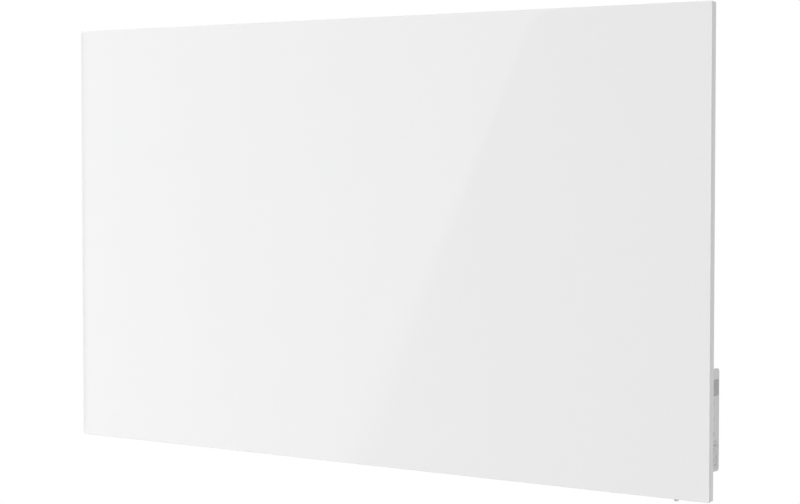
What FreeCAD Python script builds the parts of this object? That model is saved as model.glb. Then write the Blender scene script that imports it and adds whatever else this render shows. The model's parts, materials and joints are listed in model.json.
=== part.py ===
"""Wall-hung convector heater: a frameless glass front on a shallow steel tray, a sheet-steel
air duct with a finned hairpin element behind it, a control box at the lower right edge and
a wall bracket that the heater hooks onto.

Millimetres. The wall is the plane Y = 0 and the room is towards -Y. +X is to the right for
a viewer in the room and +Z is up. The origin is the centre of the four wall screws.
"""
import FreeCAD
import Part
import math
import os

Vector = FreeCAD.Vector
X_AXIS = Vector(1, 0, 0)
Y_AXIS = Vector(0, 1, 0)
Z_AXIS = Vector(0, 0, 1)
LEFT, RIGHT = -1, 1
BOTTOM, TOP = -1, 1

# Overall size of the front
PANEL_WIDTH = 800.0
PANEL_HEIGHT = 450.0

# Glass front, adhesive film and the tray that carries them
GLASS_THICKNESS = 4.0
GLASS_CORNER = 1.0
GLASS_BEVEL = 0.5
GLASS_ARRIS = 0.4
BOND_THICKNESS = 0.4
BOND_MARGIN = 12.0
TRAY_SHEET = 0.8
TRAY_RIM = 4.3
TRAY_SET_IN = 0.5
TRAY_EDGE_ROUND = 0.5

# Air duct behind the tray
SHEET = 0.8
BEND = 0.8
DUCT_DEPTH = 50.0
DUCT_SIDE_MARGIN = 92.0
DUCT_END_MARGIN = 40.0
FRONT_FLANGE = 14.0
REAR_FLANGE = 12.0
PANEL_GAP = 0.3
BACK_CORNER = 5.0
GRILLE_SLOT = 6.0
GRILLE_PITCH = 10.0
GRILLE_MARGIN = 7.0
GRILLE_END = 12.0
VENT_LENGTH = 24.0
VENT_WIDTH = 5.0
VENT_PITCH = 34.0
VENT_SIDE_MARGIN = 68.0
VENT_BELOW_TOP = 30.0
RIB_RADIUS = 4.0
RIB_LENGTH = 220.0
RIB_FROM_SIDE = 52.0

# Weld studs, nuts and sheet screws
STUD_RADIUS = 2.0
STUD_LENGTH = 9.0
STUD_HOLE = 2.4
STUD_FROM_CORNER = 45.0
NUT_FLATS = 7.0
NUT_HEIGHT = 3.2
NUT_WASHER_RADIUS = 4.6
NUT_WASHER = 0.8
THREAD_PLAY = 0.05
SCREW_RADIUS = 1.7
SCREW_LENGTH = 7.0
SCREW_HEAD_RADIUS = 3.2
SCREW_HEAD = 2.2
SCREW_HOLE_PLAY = 0.3
SCREW_FROM_CORNER = 36.0

# Heating element
ELEMENT_ABOVE_INLET = 70.0
TUBE_RADIUS = 4.0
LEG_SPACING = 28.0
FIN_CLEARANCE = 8.0
FIN_HEIGHT = 58.0
FIN_THICKNESS = 0.5
FIN_PITCH = 9.0
FIN_CORNER = 4.0
FIN_FIT = 0.03
HAIRPIN_MARGIN = 40.0
TERMINAL_MARGIN = 46.0
SUPPORT_SHEET = 1.0
SUPPORT_FROM_END = 12.0
SUPPORT_FOOT = 14.0
SUPPORT_OVERHANG = 3.0
SUPPORT_PLAY = 0.1
CUTOUT_ABOVE_LEG = 36.0
CUTOUT_RADIUS = 8.0
CUTOUT_FLANGE_RADIUS = 10.5
CUTOUT_FLANGE = 0.8
CUTOUT_DEPTH = 10.0
BLADE_WIDTH = 6.3
BLADE_THICKNESS = 0.8
BLADE_LENGTH = 10.0
BLADE_OFFSET = 5.0
INSULATOR_RADIUS = 5.0
INSULATOR_LENGTH = 8.0
INSULATOR_NECK_RADIUS = 3.2
INSULATOR_NECK = 4.0
PIN_RADIUS = 1.5
PIN_PLAY = 0.02
SHIELD_SHEET = 0.5
SHIELD_STANDOFF = 6.0
SHIELD_HEIGHT = 84.0
SHIELD_FOOT = 10.0
SHIELD_END_MARGIN = 26.0
LEAD_RADIUS = 1.5
LEAD_BEND = 5.0
LEAD_SPACING = 4.4
LEAD_NEAR = 11.0
LEAD_FAR = 17.0

# Wall bracket and the hooks that hang on it
WALL_GAP = 28.0
BRACKET_SHEET = 1.5
BRACKET_STANDOFF = 16.0
SCREW_SPACING_X = 400.0
SCREW_SPACING_Z = 200.0
WALL_HOLE_RADIUS = 3.0
WALL_FLANGE = 24.0
UPRIGHT_FLANGE = 24.0
UPRIGHT_OVERHANG = 30.0
RAIL_HEIGHT = 30.0
RAIL_LIP = 6.0
RIVET_RADIUS = 2.0
RIVET_HEAD_RADIUS = 3.4
RIVET_HEAD = 1.4
RIVET_PITCH = 16.0
HOOK_WIDTH = 40.0
HOOK_X = 120.0
HOOK_LEG = 14.0
HOOK_WELD = 22.0
HOOK_PLAY = 1.4
SEAT_GAP = 0.1
BUMPER_X = 140.0
BUMPER_RADIUS = 9.0
BUMPER_TIP_RADIUS = 7.5
BUMPER_ROUND = 1.5
BUMPER_GAP = 0.3

# Control box
CONTROL_SIDE_INSET = 7.5
CONTROL_BOTTOM_INSET = 25.0
CONTROL_WIDTH = 60.0
CONTROL_DEPTH = 26.8
CONTROL_HEIGHT = 94.0
CONTROL_WALL = 2.0
CONTROL_CORNER = 3.0
CONTROL_EDGE_ROUND = 1.2
FASCIA = 2.5
FASCIA_SEAM = 0.25
FASCIA_RIM = 4.0
FASCIA_RIM_WALL = 1.2
FASCIA_FIT = 0.15
FASCIA_EDGE_ROUND = 1.0
LUG_WIDTH = 16.0
LUG_HEIGHT = 13.0
LUG_THICKNESS = 2.5
LUG_FROM_SIDE = 44.0
HOUSING_VENTS = 5
HOUSING_VENT_LENGTH = 30.0
HOUSING_VENT_WIDTH = 2.2
HOUSING_VENT_PITCH = 5.5
BUSH_BELOW_STUD = 13.0
BUSH_RADIUS = 7.0
BUSH_WALL = 2.0
BUSH_COLLAR_RADIUS = 9.0
BUSH_COLLAR = 2.0
BUSH_PROUD = 2.0
BUSH_FIT = 0.15

# Display, buttons and their board
WINDOW_BELOW_TOP = 10.0
WINDOW_WIDTH = 22.4
WINDOW_HEIGHT = 14.6
WINDOW_THICKNESS = 2.3
WINDOW_CORNER = 1.0
WINDOW_FLANGE = 1.2
WINDOW_FLANGE_THICKNESS = 0.8
WINDOW_FIT = 0.1
DISPLAY_GAP = 0.3
BUTTON_NAMES = ("button_plus", "button_minus", "button_mode")
BUTTON_RADIUS = 4.0
BUTTON_PLAY = 0.25
BUTTON_PROUD = 0.9
BUTTON_ROUND = 0.6
BUTTON_TRAVEL = 0.8
BUTTON_COLLAR_REACH = 1.2
BUTTON_COLLAR_WIDTH = 5.0
BUTTON_COLLAR = 1.2
BUTTON_COLLAR_GAP = 0.15
BUTTON_STEM_RADIUS = 1.5
PRESS_GAP = 0.1
BOARD_STANDOFF = 9.0
BOARD = 1.6
BOARD_MARGIN = 2.0
TACT_SIZE = 6.0
TACT_HEIGHT = 3.5
TACT_PLUNGER_RADIUS = 1.6
TACT_PLUNGER = 1.5
POST_RADIUS = 1.9
POST_INSET = 2.4
POST_SCREW_RADIUS = 0.8
POST_SCREW_LENGTH = 5.0
POST_SCREW_HEAD_RADIUS = 1.7
POST_SCREW_HEAD = 1.2

# Mains rocker switch
SWITCH_ABOVE_BOTTOM = 3.0
SWITCH_HEIGHT = 25.0
SWITCH_WIDTH = 19.0
SWITCH_BEZEL = 1.2
SWITCH_BEZEL_RIM = 1.5
SWITCH_CORNER = 1.5
SWITCH_BEZEL_ROUND = 0.5
SWITCH_DEPTH = 13.0
SWITCH_FIT = 0.15
ROCKER_WIDTH = 12.0
ROCKER_REACH = 9.4
ROCKER_SADDLE = 2.4
ROCKER_BELOW = 2.5
ROCKER_TILT = 9.0
ROCKER_GAP = 0.25
ROCKER_ROUND = 0.5
ROCKER_PIVOT_DEPTH = 2.6
ROCKER_SWING_ROOM = 5.0
TRUNNION_RADIUS = 1.3
TRUNNION_REACH = 1.2
TRUNNION_PLAY = 0.05
SWITCH_BLADE_LENGTH = 8.0
SWITCH_BLADE_WIDTH = 4.8
SWITCH_BLADE_PITCH_Y = 7.0
SWITCH_BLADE_PITCH_Z = 12.0

# Power board in the control box
POWER_BOARD_STANDOFF = 4.0
POWER_BOARD_FROM_SIDE = 6.0
POWER_BOARD_WIDTH = 30.0
POWER_BOARD_END_MARGIN = 16.0
RELAY_SIZE = (19.0, 14.5, 15.0)
RELAY_ABOVE_MIDDLE = 22.0
BLOCK_SIZE = (12.0, 11.0, 15.0)
BLOCK_FROM_SIDE = 19.0

# Cord inlet and room sensor under the control box
GLAND_FROM_SIDE = 11.0
GLAND_BORE = 3.2
GLAND_THREAD_RADIUS = 5.0
GLAND_HOLE_PLAY = 0.15
GLAND_FLATS = 13.0
GLAND_HEX = 5.0
GLAND_CAP_RADIUS = 5.8
GLAND_CAP = 9.0
GLAND_FLUTES = 12
GLAND_FLUTE_RADIUS = 0.9
GLAND_FLUTE_DEPTH = 0.5
GLAND_INSIDE = 7.0
LOCKNUT_FLATS = 14.0
LOCKNUT_HEIGHT = 3.0
SENSOR_SIDE_INSET = 44.3
SENSOR_BELOW_PANEL = 4.7
SENSOR_RADIUS = 2.0
SENSOR_WALL = 0.6
SENSOR_COLLAR_RADIUS = 3.2
SENSOR_COLLAR = 1.5
SENSOR_FIT = 0.1
SENSOR_SLOT = 0.9
SENSOR_SLOT_LENGTH = 6.0
SENSOR_BEAD_RADIUS = 1.1
SENSOR_BEAD_LENGTH = 9.0
SENSOR_BEAD_GAP = 0.2

# Levels from the wall out to the glass
BACK_OUT_Y = -WALL_GAP
BACK_IN_Y = BACK_OUT_Y - SHEET
TRAY_BACK_Y = BACK_IN_Y - DUCT_DEPTH
TRAY_FRONT_Y = TRAY_BACK_Y - TRAY_SHEET
GLASS_BACK_Y = TRAY_FRONT_Y - BOND_THICKNESS
GLASS_FRONT_Y = GLASS_BACK_Y - GLASS_THICKNESS

# Edges of the duct
DUCT_X = PANEL_WIDTH / 2 - DUCT_SIDE_MARGIN
DUCT_Z = PANEL_HEIGHT / 2 - DUCT_END_MARGIN
GRILLE_X = DUCT_X - SHEET - BEND - PANEL_GAP

# Places of the element
ELEMENT_Y = (TRAY_BACK_Y + BACK_IN_Y) / 2
ELEMENT_Z = -DUCT_Z + ELEMENT_ABOVE_INLET
LEG_Z = {BOTTOM: ELEMENT_Z - LEG_SPACING / 2, TOP: ELEMENT_Z + LEG_SPACING / 2}
TUBE_END_X = DUCT_X - TERMINAL_MARGIN
TUBE_BEND_X = -DUCT_X + HAIRPIN_MARGIN
SUPPORT_X = {LEFT: TUBE_BEND_X + SUPPORT_FROM_END, RIGHT: TUBE_END_X - SUPPORT_FROM_END}
FIN_DEPTH = DUCT_DEPTH - 2 * FIN_CLEARANCE
CUTOUT_Z = LEG_Z[TOP] + CUTOUT_ABOVE_LEG
CUTOUT_X = SUPPORT_X[RIGHT] + SUPPORT_SHEET / 2
BLADE_TIP_X = CUTOUT_X + CUTOUT_DEPTH + BLADE_LENGTH
TAB_TIP_X = TUBE_END_X + INSULATOR_LENGTH + INSULATOR_NECK + BLADE_LENGTH

# Places of the bracket
RAIL_BACK_Y = -BRACKET_STANDOFF
RAIL_FRONT_Y = RAIL_BACK_Y - BRACKET_SHEET
UPRIGHT_X = SCREW_SPACING_X / 2 - WALL_FLANGE / 2
RAIL_Z = {TOP: SCREW_SPACING_Z / 2, BOTTOM: -SCREW_SPACING_Z / 2}
RIVET_X = UPRIGHT_X - UPRIGHT_FLANGE / 2
RAIL_TOP_Z = RAIL_Z[TOP] + RAIL_HEIGHT / 2

# Edges of the control box
FASCIA_X = PANEL_WIDTH / 2 - CONTROL_SIDE_INSET
FASCIA_IN_X = FASCIA_X - FASCIA
HOUSING_X = (FASCIA_X - CONTROL_WIDTH, FASCIA_IN_X - FASCIA_SEAM)
CONTROL_Y = (TRAY_BACK_Y, TRAY_BACK_Y + CONTROL_DEPTH)
CONTROL_Z = (-PANEL_HEIGHT / 2 + CONTROL_BOTTOM_INSET,
             -PANEL_HEIGHT / 2 + CONTROL_BOTTOM_INSET + CONTROL_HEIGHT)
CONTROL_MID_Y = sum(CONTROL_Y) / 2
CONTROL_MID_Z = sum(CONTROL_Z) / 2
LUG_X = HOUSING_X[0] + LUG_FROM_SIDE
BUSH_Z = -DUCT_Z + STUD_FROM_CORNER - BUSH_BELOW_STUD
LUG_Z = {BOTTOM: CONTROL_Z[0] - LUG_HEIGHT / 2, TOP: CONTROL_Z[1] + LUG_HEIGHT / 2}

# Places on the fascia
WINDOW_Z = (CONTROL_Z[1] - WINDOW_BELOW_TOP - WINDOW_HEIGHT, CONTROL_Z[1] - WINDOW_BELOW_TOP)
SWITCH_Z = (CONTROL_Z[0] + SWITCH_ABOVE_BOTTOM, CONTROL_Z[0] + SWITCH_ABOVE_BOTTOM + SWITCH_HEIGHT)
SWITCH_MID_Z = sum(SWITCH_Z) / 2
BUTTON_PITCH = (WINDOW_Z[0] - SWITCH_Z[1]) / len(BUTTON_NAMES)
BUTTON_Z = [WINDOW_Z[0] - BUTTON_PITCH * (i + 0.5) for i in range(len(BUTTON_NAMES))]
BOARD_X = FASCIA_IN_X - BOARD_STANDOFF
BOARD_Y = (CONTROL_Y[0] + CONTROL_WALL + BOARD_MARGIN, CONTROL_Y[1] - CONTROL_WALL - BOARD_MARGIN)
BOARD_Z = (SWITCH_Z[1] + BOARD_MARGIN, CONTROL_Z[1] - CONTROL_WALL - BOARD_MARGIN)
PIVOT_X = FASCIA_X + SWITCH_BEZEL - ROCKER_PIVOT_DEPTH

# Places under the control box and on the power board
GLAND_X = HOUSING_X[0] + GLAND_FROM_SIDE
SENSOR_X = PANEL_WIDTH / 2 - SENSOR_SIDE_INSET
POWER_BOARD_Y = CONTROL_Y[0] + CONTROL_WALL + POWER_BOARD_STANDOFF
POWER_BOARD_X = (HOUSING_X[0] + POWER_BOARD_FROM_SIDE,
                 HOUSING_X[0] + POWER_BOARD_FROM_SIDE + POWER_BOARD_WIDTH)
POWER_BOARD_Z = (CONTROL_Z[0] + POWER_BOARD_END_MARGIN, CONTROL_Z[1] - POWER_BOARD_END_MARGIN)
BLOCK_X = HOUSING_X[0] + BLOCK_FROM_SIDE

# Extra length of a cutting tool past the face that it cuts
THROUGH = 5.0


def span(middle, size):
    """Low and high end of a size centred on middle."""
    return (middle - size / 2, middle + size / 2)


def grown(pair, by):
    """A low and high end, each moved outwards."""
    return (pair[0] - by, pair[1] + by)


def block(x, y, z):
    """A box from its low and high ends along each axis."""
    return Part.makeBox(x[1] - x[0], y[1] - y[0], z[1] - z[0], Vector(x[0], y[0], z[0]))


def edges_along(shape, axis):
    """The straight edges of a box that run along an axis."""
    return [e for e in shape.Edges if abs(e.tangentAt(e.FirstParameter).dot(axis)) > 0.999]


def slab(x, y, z, axis, radius):
    """A box whose four edges along an axis are rounded."""
    solid = block(x, y, z)
    return solid.makeFillet(radius, edges_along(solid, axis))


def edges_at(shape, axis, level):
    """The edges that lie wholly in the plane at a level along an axis."""
    def in_plane(edge):
        first, last = edge.ParameterRange
        points = [edge.valueAt(first), edge.valueAt((first + last) / 2), edge.valueAt(last)]
        return all(abs(point.dot(axis) - level) < 1e-4 for point in points)
    return [e for e in shape.Edges if in_plane(e)]


def rod(start, radius, length, axis):
    """A cylinder from a point along an axis."""
    return Part.makeCylinder(radius, length, start, axis)


def fused(first, *others):
    """One solid from touching or overlapping ones."""
    return first.fuse(list(others)).removeSplitter().Solids[0]


def holed(solid, tools):
    """A solid with tools cut out of it."""
    return solid.cut(list(tools)).Solids[0]


def stadium(centre, length, width, along, through, depth):
    """A slot-shaped prism, round at both ends, centred on a point."""
    across = through.cross(along)
    half = along * ((length - width) / 2)
    side = across * (width / 2)
    tip = along * (length / 2)
    base = centre - through * (depth / 2)
    corners = [base + half + side, base - half + side, base - half - side, base + half - side]
    edges = [
        Part.LineSegment(corners[0], corners[1]).toShape(),
        Part.Arc(corners[1], base - tip, corners[2]).toShape(),
        Part.LineSegment(corners[2], corners[3]).toShape(),
        Part.Arc(corners[3], base + tip, corners[0]).toShape(),
    ]
    return Part.Face(Part.Wire(edges)).extrude(through * depth)


def hexagon(start, flats, height, axis):
    """A hexagonal prism from the centre of its base along an axis."""
    side = Vector(0, 1, 0) if abs(axis.z) > 0.5 else Vector(0, 0, 1)
    turn = axis.cross(side)
    reach = flats / math.sqrt(3)
    angles = [math.radians(60 * i) for i in range(7)]
    ring = [start + side * (reach * math.cos(a)) + turn * (reach * math.sin(a)) for a in angles]
    return Part.Face(Part.makePolygon(ring)).extrude(axis * height)


def bend_points(path, radius):
    """Where each bend of a path starts, is half way and ends, as points on its mid-line."""
    bends = []
    for before, corner, after in zip(path, path[1:], path[2:]):
        came = (corner - before).normalize()
        goes = (after - corner).normalize()
        turn = came.getAngle(goes)
        reach = radius * math.tan(turn / 2)
        inward = (goes - came).normalize()
        depth = radius / math.cos(turn / 2) - radius
        bends.append((corner - came * reach, corner + inward * depth, corner + goes * reach))
    return bends


def route(path, radius):
    """A wire along straight runs joined by tangent arcs."""
    edges = []
    here = path[0]
    for start, middle, end in bend_points(path, radius):
        edges.append(Part.LineSegment(here, start).toShape())
        edges.append(Part.Arc(start, middle, end).toShape())
        here = end
    edges.append(Part.LineSegment(here, path[-1]).toShape())
    return Part.Wire(edges)


def tube(path, bend, radius):
    """A round bar that follows a path."""
    line = route(path, bend)
    ring = Part.Wire(Part.makeCircle(radius, path[0], path[1] - path[0]))
    return line.makePipeShell([ring], True, False)


def folded(path, thickness, sweep):
    """A bent sheet whose mid-line follows a flat path, drawn out along sweep."""
    middle = BEND + thickness / 2
    normal = Vector(sweep).normalize()
    sides = []
    for hand in (1, -1):
        offset = thickness / 2 * hand
        edges = []
        here = path[0] + normal.cross((path[1] - path[0]).normalize()) * offset
        for i, (start, half, end) in enumerate(bend_points(path, middle)):
            came = (path[i + 1] - path[i]).normalize()
            goes = (path[i + 2] - path[i + 1]).normalize()
            outward = (path[i + 1] - half).normalize()
            turns_in = 1 if normal.cross(came).dot(goes) > 0 else -1
            first = start + normal.cross(came) * offset
            last = end + normal.cross(goes) * offset
            edges.append(Part.LineSegment(here, first).toShape())
            edges.append(Part.Arc(first, half - outward * (offset * turns_in), last).toShape())
            here = last
        tip = path[-1] + normal.cross((path[-1] - path[-2]).normalize()) * offset
        edges.append(Part.LineSegment(here, tip).toShape())
        sides.append((edges, edges[0].valueAt(edges[0].FirstParameter), tip))
    (near, near_start, near_end), (far, far_start, far_end) = sides
    caps = [Part.LineSegment(near_start, far_start).toShape(), Part.LineSegment(near_end, far_end).toShape()]
    outline = Part.Wire(Part.__sortEdges__(near + far + caps))
    return Part.Face(outline).extrude(sweep)


def pan_screw(seat, axis, radius, length, head_radius, head):
    """A pan-head screw: its head stands on seat along axis and its shank goes the other way."""
    side = Vector(0, 0, 1) if abs(axis.z) < 0.5 else Vector(1, 0, 0)
    turn = axis.cross(side)
    cap = rod(seat, head_radius, head, axis)
    top = [e for e in cap.Edges if abs((e.CenterOfMass - seat).dot(axis) - head) < 1e-4]
    cap = cap.makeFillet(head * 0.45, top)
    screw = fused(cap, rod(seat - axis * length, radius, length, axis))
    reach = head_radius * 1.1
    width = head_radius * 0.28
    floor = seat + axis * (head * 0.5)
    arms = [stadium(floor + axis * head / 2, reach, width, way, axis, head) for way in (side, turn)]
    return holed(screw, arms)


def front_glass():
    """Back-painted glass front with a polished bevel round its face."""
    depth = (GLASS_FRONT_Y, GLASS_BACK_Y)
    solid = slab(span(0, PANEL_WIDTH), depth, span(0, PANEL_HEIGHT), Y_AXIS, GLASS_CORNER)
    solid = solid.makeChamfer(GLASS_BEVEL, edges_at(solid, Y_AXIS, GLASS_FRONT_Y))
    return solid.makeChamfer(GLASS_ARRIS, edges_at(solid, Y_AXIS, GLASS_BACK_Y))


def bond_film():
    """Adhesive film between the glass and the tray."""
    width = PANEL_WIDTH - 2 * BOND_MARGIN
    height = PANEL_HEIGHT - 2 * BOND_MARGIN
    return slab(span(0, width), (GLASS_BACK_Y, TRAY_FRONT_Y), span(0, height), Y_AXIS, BOND_MARGIN)


def front_tray():
    """Shallow steel pan behind the glass, with its rim folded towards the wall."""
    x = span(0, PANEL_WIDTH - 2 * TRAY_SET_IN)
    z = span(0, PANEL_HEIGHT - 2 * TRAY_SET_IN)
    rim_y = TRAY_FRONT_Y + TRAY_RIM
    pan = slab(x, (TRAY_FRONT_Y, rim_y), z, Y_AXIS, GLASS_CORNER)
    pan = pan.makeFillet(TRAY_EDGE_ROUND, edges_at(pan, Y_AXIS, TRAY_FRONT_Y))
    inside = slab(grown(x, -TRAY_SHEET), (TRAY_BACK_Y, rim_y + THROUGH), grown(z, -TRAY_SHEET), Y_AXIS,
                  GLASS_CORNER - TRAY_SHEET)
    return holed(pan, [inside])


def cheek_stud_places():
    """Studs for the duct's two sides: (x, z) pairs."""
    x = DUCT_X + FRONT_FLANGE / 2
    z = DUCT_Z - STUD_FROM_CORNER
    return [(side * x, level) for side in (LEFT, RIGHT) for level in (-z, 0.0, z)]


def grille_stud_places():
    """Studs for the two grilles: (x, z) pairs."""
    x = DUCT_X - STUD_FROM_CORNER
    z = DUCT_Z + FRONT_FLANGE / 2
    return [(place, end * z) for end in (BOTTOM, TOP) for place in (-x, 0.0, x)]


def lug_stud_places():
    """Studs for the control box's two lugs: (x, z) pairs."""
    return [(LUG_X, LUG_Z[end]) for end in (BOTTOM, TOP)]


def tray_studs():
    """Weld studs standing on the back of the tray."""
    places = cheek_stud_places() + grille_stud_places() + lug_stud_places()
    return [rod(Vector(x, TRAY_BACK_Y, z), STUD_RADIUS, STUD_LENGTH, Y_AXIS) for x, z in places]


def flange_nut(x, seat, z):
    """A hexagon nut with a washer face, screwed onto a stud."""
    washer = rod(Vector(x, seat, z), NUT_WASHER_RADIUS, NUT_WASHER, Y_AXIS)
    body = hexagon(Vector(x, seat + NUT_WASHER, z), NUT_FLATS, NUT_HEIGHT, Y_AXIS)
    bore = rod(Vector(x, seat - THROUGH, z), STUD_RADIUS + THREAD_PLAY, NUT_HEIGHT + 3 * THROUGH, Y_AXIS)
    return holed(fused(washer, body), [bore])


def flange_nuts():
    """Nuts on all the tray's studs."""
    duct = [flange_nut(x, TRAY_BACK_Y + SHEET, z) for x, z in cheek_stud_places() + grille_stud_places()]
    lugs = [flange_nut(x, TRAY_BACK_Y + LUG_THICKNESS, z) for x, z in lug_stud_places()]
    return duct + lugs


def stud_hole(x, z):
    """A tool that makes room for a stud in a flange."""
    return rod(Vector(x, TRAY_BACK_Y - THROUGH, z), STUD_HOLE, 3 * THROUGH, Y_AXIS)


def cheek_screw_places():
    """Screws from the back sheet into the duct's sides: (x, z) pairs."""
    x = DUCT_X - REAR_FLANGE / 2
    z = DUCT_Z - SCREW_FROM_CORNER
    return [(side * x, level) for side in (LEFT, RIGHT) for level in (-z, 0.0, z)]


def grille_screw_places():
    """Screws from the back sheet into the grilles: (x, z) pairs."""
    x = DUCT_X - SCREW_FROM_CORNER
    z = DUCT_Z - REAR_FLANGE / 2
    return [(place, end * z) for end in (BOTTOM, TOP) for place in (-x, 0.0, x)]


def sheet_screws():
    """Self-tapping screws that hold the back sheet."""
    return [pan_screw(Vector(x, BACK_OUT_Y, z), Y_AXIS, SCREW_RADIUS, SCREW_LENGTH,
                      SCREW_HEAD_RADIUS, SCREW_HEAD)
            for x, z in cheek_screw_places() + grille_screw_places()]


def tapped_hole(x, z):
    """A tool for the hole in a rear flange that a screw cuts its thread in."""
    return rod(Vector(x, BACK_IN_Y - THROUGH, z), SCREW_RADIUS + THREAD_PLAY, 2 * THROUGH, Y_AXIS)


def duct_cheek(side):
    """One side of the duct: a Z-section with its front flange on the tray."""
    front = TRAY_BACK_Y + SHEET / 2
    rear = BACK_IN_Y - SHEET / 2
    web = side * (DUCT_X - SHEET / 2)
    path = [Vector(side * (DUCT_X + FRONT_FLANGE), front, -DUCT_Z), Vector(web, front, -DUCT_Z),
            Vector(web, rear, -DUCT_Z), Vector(side * (DUCT_X - REAR_FLANGE), rear, -DUCT_Z)]
    cheek = folded(path, SHEET, Z_AXIS * (2 * DUCT_Z))
    notch_x = sorted((0.0, side * (DUCT_X - SHEET)))
    notch_y = (rear - SHEET - BEND, BACK_IN_Y + THROUGH)
    notch_z = (DUCT_Z - REAR_FLANGE - PANEL_GAP, DUCT_Z + THROUGH)
    tools = [block(notch_x, notch_y, sorted(end * z for z in notch_z)) for end in (BOTTOM, TOP)]
    tools += [stud_hole(x, z) for x, z in cheek_stud_places() if x * side > 0]
    tools += [tapped_hole(x, z) for x, z in cheek_screw_places() if x * side > 0]
    if side == RIGHT:
        tools.append(bush_hole())
    return holed(cheek, tools)


def grille(end):
    """The slotted top or bottom of the duct, with its front flange on the tray."""
    front = TRAY_BACK_Y + SHEET / 2
    rear = BACK_IN_Y - SHEET / 2
    web = end * (DUCT_Z - SHEET / 2)
    path = [Vector(-GRILLE_X, front, end * (DUCT_Z + FRONT_FLANGE)), Vector(-GRILLE_X, front, web),
            Vector(-GRILLE_X, rear, web), Vector(-GRILLE_X, rear, end * (DUCT_Z - REAR_FLANGE))]
    plate = folded(path, SHEET, X_AXIS * (2 * GRILLE_X))
    room = 2 * (GRILLE_X - GRILLE_END)
    count = int(room / GRILLE_PITCH)
    length = DUCT_DEPTH - 2 * GRILLE_MARGIN
    places = [(i - (count - 1) / 2) * GRILLE_PITCH for i in range(count)]
    tools = [stadium(Vector(x, ELEMENT_Y, web), length, GRILLE_SLOT, Y_AXIS, Z_AXIS, 2 * THROUGH)
             for x in places]
    tools += [stud_hole(x, z) for x, z in grille_stud_places() if z * end > 0]
    tools += [tapped_hole(x, z) for x, z in grille_screw_places() if z * end > 0]
    return holed(plate, tools)


def rib(x, radius):
    """The half-round of a pressed rib in the back sheet, or of its hollow."""
    low = Vector(x, BACK_IN_Y, -RIB_LENGTH / 2)
    high = Vector(x, BACK_IN_Y, RIB_LENGTH / 2)
    ends = [Part.makeSphere(radius, low), Part.makeSphere(radius, high)]
    capsule = rod(low, radius, RIB_LENGTH, Z_AXIS).fuse(ends)
    depth = (BACK_IN_Y, BACK_IN_Y + 2 * radius)
    behind = block(span(x, 4 * radius), depth, span(0, RIB_LENGTH + 4 * radius))
    return capsule.common(behind).Solids[0]


def back_sheet():
    """The duct's back, with two pressed ribs and a row of vents."""
    sheet = slab(span(0, 2 * DUCT_X), (BACK_IN_Y, BACK_OUT_Y), span(0, 2 * DUCT_Z), Y_AXIS, BACK_CORNER)
    ribs = [side * (DUCT_X - RIB_FROM_SIDE) for side in (LEFT, RIGHT)]
    sheet = fused(sheet, *[rib(x, RIB_RADIUS) for x in ribs])
    tools = [rib(x, RIB_RADIUS - SHEET) for x in ribs]
    hole = SCREW_RADIUS + SCREW_HOLE_PLAY
    tools += [rod(Vector(x, BACK_IN_Y - THROUGH, z), hole, 2 * THROUGH, Y_AXIS)
              for x, z in cheek_screw_places() + grille_screw_places()]
    tools += [rod(Vector(x, BACK_IN_Y - THROUGH, z), RIVET_RADIUS + THREAD_PLAY, 2 * THROUGH, Y_AXIS)
              for x, z in hook_rivet_places()]
    count = int(2 * (DUCT_X - VENT_SIDE_MARGIN) / VENT_PITCH)
    places = [(i - (count - 1) / 2) * VENT_PITCH for i in range(count)]
    vents = [Vector(x, BACK_IN_Y, DUCT_Z - VENT_BELOW_TOP) for x in places]
    tools += [stadium(vent, VENT_LENGTH, VENT_WIDTH, X_AXIS, Y_AXIS, 2 * THROUGH) for vent in vents]
    return holed(sheet, tools)


def heat_shield():
    """Bright sheet on two feet between the element and the tray."""
    foot = TRAY_BACK_Y + SHIELD_SHEET / 2
    face = TRAY_BACK_Y + SHIELD_STANDOFF
    low, high = span(ELEMENT_Z, SHIELD_HEIGHT)
    x = -DUCT_X + SHIELD_END_MARGIN
    path = [Vector(x, foot, low - SHIELD_FOOT), Vector(x, foot, low), Vector(x, face, low),
            Vector(x, face, high), Vector(x, foot, high), Vector(x, foot, high + SHIELD_FOOT)]
    return folded(path, SHIELD_SHEET, X_AXIS * (-2 * x))


def element_tube():
    """Sheathed heating tube bent into a hairpin."""
    upper, lower = LEG_Z[TOP], LEG_Z[BOTTOM]
    bend = Vector(TUBE_BEND_X - LEG_SPACING / 2, ELEMENT_Y, ELEMENT_Z)
    starts = [Vector(TUBE_END_X, ELEMENT_Y, z) for z in (upper, lower)]
    turns = [Vector(TUBE_BEND_X, ELEMENT_Y, z) for z in (upper, lower)]
    edges = [
        Part.LineSegment(starts[0], turns[0]).toShape(),
        Part.Arc(turns[0], bend, turns[1]).toShape(),
        Part.LineSegment(turns[1], starts[1]).toShape(),
    ]
    ring = Part.Wire(Part.makeCircle(TUBE_RADIUS, starts[0], X_AXIS))
    return Part.Wire(edges).makePipeShell([ring], True, False)


def leg_holes(play):
    """Tools that make room for the hairpin's two legs."""
    length = 2 * DUCT_X
    return [rod(Vector(-DUCT_X, ELEMENT_Y, z), TUBE_RADIUS + play, length, X_AXIS) for z in LEG_Z.values()]


def element_fins():
    """Pressed-on fins between the two supports."""
    first = SUPPORT_X[LEFT] + FIN_PITCH
    room = SUPPORT_X[RIGHT] - FIN_PITCH - first
    count = int(room / FIN_PITCH) + 1
    start = first + (room - (count - 1) * FIN_PITCH) / 2
    fin = slab(span(start, FIN_THICKNESS), span(ELEMENT_Y, FIN_DEPTH), span(ELEMENT_Z, FIN_HEIGHT),
               X_AXIS, FIN_CORNER)
    fin = holed(fin, leg_holes(FIN_FIT))
    return [fin.translated(X_AXIS * (i * FIN_PITCH)) for i in range(count)]


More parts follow.
